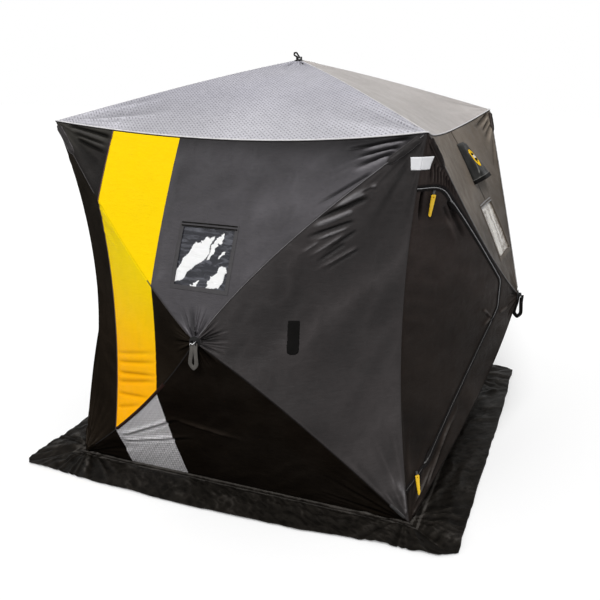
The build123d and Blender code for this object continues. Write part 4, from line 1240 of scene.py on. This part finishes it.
def skirt_bow(quarter, along, beyond):
    """How far a point of the skirt is carried out from a wall by the curve of that wall's edge."""
    quarter = quarter % 4
    bow = np.interp(along, *SKIRT_BOWS[quarter])
    bow = bow + 0.006 * lattice_noise(along / 0.15 + 40, along * 0 + 3.5, 950 + quarter)
    bow = bow + 0.003 * lattice_noise(along / 0.05 + 40, along * 0 + 1.5, 960 + quarter)
    return bow * np.clip(beyond / SKIRT_WIDE, 0, 1) ** 2


def make_skirt(quarter):
    """A loose strip of coated cloth, crumpled on the ice along one wall."""
    inner, outer = SKIRT_IN, SKIRT_IN + SKIRT_WIDE
    columns, rows = (320, 40) if quarter in (FRONT, DOOR_SIDE) else (220, 28)
    mesh = flat_grid(f"skirt_{quarter}", columns, rows, 1.0)
    grid = read_points(mesh)
    share = (grid[:, 1] + 1) / 2
    away = share * SKIRT_WIDE
    flat = np.stack((grid[:, 0] * (inner + away), -inner - away, 0 * away), axis=1)
    side = flat[:, 0]
    seed = 900 + quarter * 10
    long_folds = crumple(side, away, 0.060, seed, 6.5, 0.10)
    cross_folds = crumple(side, away, 0.075, seed + 1, 4.0, 0.75)
    fine_folds = crumple(side, away, 0.015, seed + 2, 2.6, 0.50)
    rise = 0.0085 * (long_folds + 0.7) + 0.0090 * (cross_folds + 0.7) + 0.0020 * (fine_folds + 0.7)
    rise *= ease(away, 0.045, 0.100) * (1 - 0.55 * ease(share, 0.65, 1.0))
    broken = ease(lattice_noise(side / 0.11 + 9, away / 0.07 + 4, seed + 6), -0.25, 0.45)
    # crest sets the painted highlights on the skirt's crumples and the painted shade in their hollows.
    crest = 1.7 * broken * np.maximum(np.maximum(long_folds - 0.24, cross_folds - 0.26), 0) + 0.8 * fine_folds - 0.05
    # The gathers at the corners are painted lighter and darker along their pleats.
    for hand in (-1, 1):
        rays = fan(side, away, (hand * inner, 0), 0.03, 0.42, 22, 0.017, seed + 3 + hand) * ease(away, 0.006, 0.03)
        rise, crest = rise + np.maximum(rays + 0.004 * ease(away, 0.0, 0.03), 0), crest + 55 * rays
    # The two hem lines are raised and get a painted highlight.
    for line in SKIRT_HEMS:
        hem = np.exp(-(((away - line) / 0.0058) ** 2))
        rise, crest = rise + 0.0034 * hem, crest + 1.5 * hem
    rise = np.maximum(rise, 0.0)
    points = flat.copy()
    points[:, 1] -= skirt_bow(quarter, side, away)
    for hand in (-1, 1):
        corner = (quarter + (1 if hand > 0 else 0)) % 4
        mitre = ease(inner + away - hand * side, 0.060, 0.0)
        swell = 0.5 + 0.5 * lattice_noise(away / 0.05 + 9, away * 0 + 5.5, 40 + corner)
        rise = rise * (1 - mitre) + (0.004 + 0.010 * ease(away, 0.0, 0.05) * swell) * mitre
        points[:, 0] += hand * skirt_bow(quarter + hand, hand * flat[:, 1], hand * side - inner)
        over = np.maximum(hand * side + inner + away - (2 * outer - CORNER_CUTS[corner]), 0.0)
        points[:, 0] -= hand * over / 2
        points[:, 1] += over / 2
    points[:, 2] = 0.0032 + rise
    mesh.vertices.foreach_set("co", turned(points, quarter).ravel())
    lay_out(mesh, flat[:, :2])
    # Kept as the fold attribute for the painted highlight and shade.
    write_layer(mesh, "fold", np.clip(crest, -0.7, 1))
    with editing(mesh) as cloth:
        face_out(cloth, FAR_BELOW)
    soft_shade(mesh)
    piece = thicken(new_piece(f"{WALL_NAMES[quarter]}_skirt", mesh, SKIRT), SKIRT_THICK)
    declare(piece, "skirt_cloth", "snow_skirt")


# ------------------------------------------------------------------- vents and straps
def seat_frame(side, height):
    """A point on the upper panel, and the ways along, up and out from the cloth there."""
    share, across, step = 0.5, 0.5, 1e-3
    panel = PANELS["upper"]

    def spot(more_share=0.0, more_across=0.0):
        return panel.at(np.array([share + more_share]), np.array([across + more_across]))[0]

    for _ in range(40):
        here = spot()
        slopes = np.array((spot(step) - here, spot(0.0, step) - here)) / step
        move = np.linalg.solve(slopes[:, [0, 2]].T, (side - here[0], height - here[2]))
        share, across = share + 0.7 * move[0], across + 0.7 * move[1]
    out = outward_normals(panel, np.array([share]), np.array([across]))[0]
    along = unit(np.cross((0, 0, 1), out))
    return here, along, np.cross(out, along), out


def offset(origin, *moves):
    """Points moved off an origin by each amount along its way."""
    return origin + sum(np.asarray(amount)[..., None] * way for amount, way in moves)


def grid_piece(name, columns, rows, place, material, flat_size, quarter, closed=False, crests=None):
    """A grid of faces bent into shape: place(u, v) gives the points for u and v from 0 to 1."""
    mesh = flat_grid(name, columns, rows, 0.5)
    flat = read_points(mesh)[:, :2] + 0.5
    points = place(flat[:, 0], flat[:, 1])
    mesh.vertices.foreach_set("co", turned(points, quarter).ravel())
    lay_out(mesh, flat * np.array(flat_size))
    if crests:
        write_layer(mesh, "fold", np.clip(crests(flat[:, 0], flat[:, 1]), -1, 1))
    if closed:
        with editing(mesh) as shape:
            bmesh.ops.remove_doubles(shape, verts=shape.verts[:], dist=1e-5)
    soft_shade(mesh)
    return new_piece(name, mesh, material)


def make_vent(quarter):
    """A hooded vent: shut at the top, held open at the bottom, with a loop of webbing on it."""
    wall = WALL_NAMES[quarter]
    origin, along, up, out = seat_frame(VENT_SIDE, (VENT_LOW + VENT_HIGH) / 2)
    half = (VENT_HIGH - VENT_LOW) / 2 / up[2]

    def hood(u, v):
        side = u * 2 - 1
        width = VENT_LOW_WIDTH + (VENT_HIGH_WIDTH - VENT_LOW_WIDTH) * v
        height = (HOOD_OPEN + (HOOD_SHUT - HOOD_OPEN) * v) * ease(1 - v, 0.0, 0.08)
        ripple = 0.0022 * crumple(u * 0.24, v * 0.2, 0.05, 77 + quarter, 1.6, 0.5)
        lift = (height + ripple) * (1 - np.abs(side) ** 5) ** 0.7 + 0.001
        return offset(origin, (side * width / 2, along), ((v * 2 - 1) * half, up), (lift, out))

    # Painted highlights along the rim at the hood's foot and along two creases, and painted shade in a band just above
    # the rim, through the fold attribute.
    def hood_creases(u, v):
        rim = 1.1 * np.exp(-(((v - 0.085) / 0.020) ** 2)) + 0.8 * np.exp(-(((v - 0.010) / 0.014) ** 2))
        gap = fold(u, v, (0.02, 0.16), (0.86, 0.20), 0.028, 1.4)
        crease = fold(u, v, (0.05, 0.05), (0.34, 0.66), 0.022, 1.0) + fold(u, v, (0.92, 0.08), (0.55, 0.60), 0.022, 0.5)
        return rim + crease - gap + 0.5 * crumple(u, v, 0.22, 71, 2.0, 0.9) - 0.15

    cover = grid_piece(f"{wall}_vent_hood", 56, 64, hood, HOOD_CLOTH, (0.24, 0.2), quarter, crests=hood_creases)
    cover.data.flip_normals()
    declare(thicken(cover, HOOD_THICK), "black_cloth", "vent_hoods")

    def lip(u, v):
        return offset(hood(u, np.zeros_like(u)), (0.020 * v, up), (0.0012 - 0.00225 * v, out))

    band = grid_piece(f"{wall}_vent_lip", 48, 3, lip, TRIM_BLACK, (0.24, 0.02), quarter)
    band.data.flip_normals()
    declare(thicken(band, LIP_THICK), "black_trim")

    face_way = unit(up * (HOOD_OPEN - HOOD_SHUT) + out * (2 * half))
    face_up = np.cross(along, face_way)
    face_up = face_up if face_up[2] > 0 else -face_up
    centre = origin + out * 0.0365 + face_up * 0.010 - along * 0.008

    def loop(u, v):
        turn, wide = u * 2 * pi, (v - 0.5) * 0.021
        level, rise = np.cos(turn), np.sin(turn)
        reach = rise * 0.0245 + np.clip(rise * 4, -1, 1) * 0.017
        proud = 0.002 + 0.0006 * np.sin(turn * 2)
        return offset(centre, (level * (0.0255 + wide), along), (reach + rise * wide, face_up), (proud, face_way))

    ring = grid_piece(f"{wall}_vent_loop", 64, 4, loop, YELLOW_WEBBING, (0.25, 0.014), quarter, closed=True)
    declare(thicken(ring, LOOP_THICK, 0.0), "yellow_webbing", "vent_loops")

    for name, middle_up, wide, tall, raised, material, slot in (
        ("tab", 0.006, 0.040, 0.018, 0.0052, TAB_WHITE, "yellow_webbing"),
        ("bar_high", 0.022, 0.040, 0.009, 0.0040, TRIM_BLACK, "black_trim"),
        ("bar_low", -0.011, 0.044, 0.011, 0.0040, TRIM_BLACK, "black_trim"),
    ):
        def plate(u, v):
            rise = (v - 0.5) * tall + middle_up
            lift = raised + 0.0012 * np.sin(u * pi)
            return offset(centre, ((u - 0.5) * wide, along), (rise, face_up), (lift, face_way))

        cover = grid_piece(f"{wall}_vent_{name}", 10, 6, plate, material, (wide, tall), quarter)
        declare(thicken(cover, BAR_THICK, 0.0), slot)


def make_strap(name, pin, out, fall, length, quarter=0, nodes=(), material=TRIM_BLACK):
    """A flat loop of webbing that hangs from a pin, facing the way out, its two legs side by side."""
    middle, out, fall = (np.array(v, float) for v in (pin, out, fall))
    small = min(1.0, (length / LONG_STRAP) ** 0.75)

    def spine(u):
        turn = u * 2 - 1
        down = 1 - np.abs(turn) ** 2.4
        apart = (0.0100 + 0.0070 * ease(down, 0.25, 0.8)) * np.sqrt(1 - ease(down, 0.80, 1.0)) * small
        sway = 0.006 * ease(down, 0.0, 1.0)
        return offset(middle, (length * down, fall), (np.sign(turn) * apart + sway, np.cross(fall, out)))

    def place(u, v):
        run = unit(spine(np.minimum(u + 0.002, 1.0)) - spine(np.maximum(u - 0.002, 0.0)))
        leg = np.where(u < 0.5, 0.0018, -0.0018) * (1 - np.abs(u * 2 - 1) ** 4)
        bend = 0.003 * np.sin(u * 2 * pi) * np.abs(u * 2 - 1)
        return offset(spine(u), ((v - 0.5) * 0.0185 * small, np.cross(run, out)), (leg + bend, out))

    piece = grid_piece(name, 120, 6, place, material, (2 * length, 0.017), quarter)
    declare(thicken(piece, STRAP_THICK, 0.0), "black_trim", *nodes)


# ------------------------------------------------------------------------ the setting
def make_floor():
    """A pale floor that looks white to the camera and in gloss, and lights the hut from below less."""
    white, grey = (0.90, 0.90, 0.90), (0.30, 0.30, 0.30)
    matt = {"Roughness": 0.9, "Specular_IOR_Level": 0.0}
    material, tree, shader = new_material("pale_floor", Emission_Color=(1, 1, 1), **matt)
    seen = seen_or_mirrored(tree)
    glow = maths(tree, "MULTIPLY", seen, FLOOR_GLOW)
    set_inputs(tree, shader, Base_Color=blend_colour(tree, seen, grey, white), Emission_Strength=glow)
    floor = new_piece("floor", flat_grid("floor", 1, 1, 30), material)


def seen_or_mirrored(tree):
    """1 where the camera looks, or where metal or film shows it, and 0 for light on the hut."""
    path = place_node(tree, "ShaderNodeLightPath").outputs
    direct = maths(tree, "MAXIMUM", path["Is Camera Ray"], path["Is Glossy Ray"])
    return maths(tree, "MAXIMUM", direct, path["Is Transmission Ray"])


def make_world():
    world = bpy.data.worlds.new("studio")
    world.use_nodes = True
    tree = world.node_tree
    strength = maths(tree, "MULTIPLY_ADD", seen_or_mirrored(tree), 1 - AIR_LIGHT, AIR_LIGHT)
    set_inputs(tree, tree.nodes["Background"], Color=(1, 1, 1), Strength=strength)
    bpy.context.scene.world = world


set_camera()
make_world()
make_floor()
soft_sun("key", (0.14, -0.67, 0.73), 2.85, 28)
soft_sun("fill", (-0.75, -0.55, 0.36), 0.42, 60)
bpy.context.scene.view_settings.view_transform = "Standard"

HUB_CLIP = (
    (-0.017, -0.013, -0.009), (-0.010, -0.016, 0), (0, -0.017, -0.004), (0.008, -0.016, 0.004), (0.013, -0.012, 0.008),
)
for quarter in range(4):
    make_wall(quarter)
    make_roof(quarter)
    make_seams(quarter)
    make_skirt(quarter)
for quarter in (DOOR_SIDE, FAR_SIDE):
    make_vent(quarter)
for quarter in range(4):
    faces = (0, -1, 0) if quarter in (FRONT, BACK) else (-1, 0, 0)
    make_strap(
        f"{WALL_NAMES[quarter]}_hub_strap", (0, -HUB_REACH - 0.0097, HUB_HEIGHT), faces, (0, 0, -1), LONG_STRAP,
        quarter, ["hub_straps"], STRAP_WEB if quarter == FRONT else TRIM_BLACK,
    )
    clip = np.array(HUB_CLIP) + (0, -HUB_REACH, HUB_HEIGHT)
    line_piece(f"{WALL_NAMES[quarter]}_hub_clip", turned(clip, quarter), 0.0019, HUB_STEEL, "slider_metal")
make_strap("roof_hub_strap", (0, 0, PEAK_HEIGHT + 0.0097), (0.34, 0.94, 0), (-0.62, 0.22, 0.75), 0.040)

for node, material in (
    ("wall_rods", ROD_BLACK), ("roof_rods", ROD_BLACK), ("wall_hubs", HUB_PLASTIC), ("roof_hub", HUB_PLASTIC),
    ("hub_caps", HUB_PLASTIC), ("wall_rod_boots", BOOT_RUBBER), ("roof_rod_boots", BOOT_RUBBER),
    ("zip_sliders", SLIDER_METAL), ("zip_pulls", YELLOW_RUBBER),
):
    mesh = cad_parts[node].data
    if len(mesh.materials) == 0:
        mesh.materials.append(material)
    for index in range(len(mesh.materials)):
        mesh.materials[index] = material
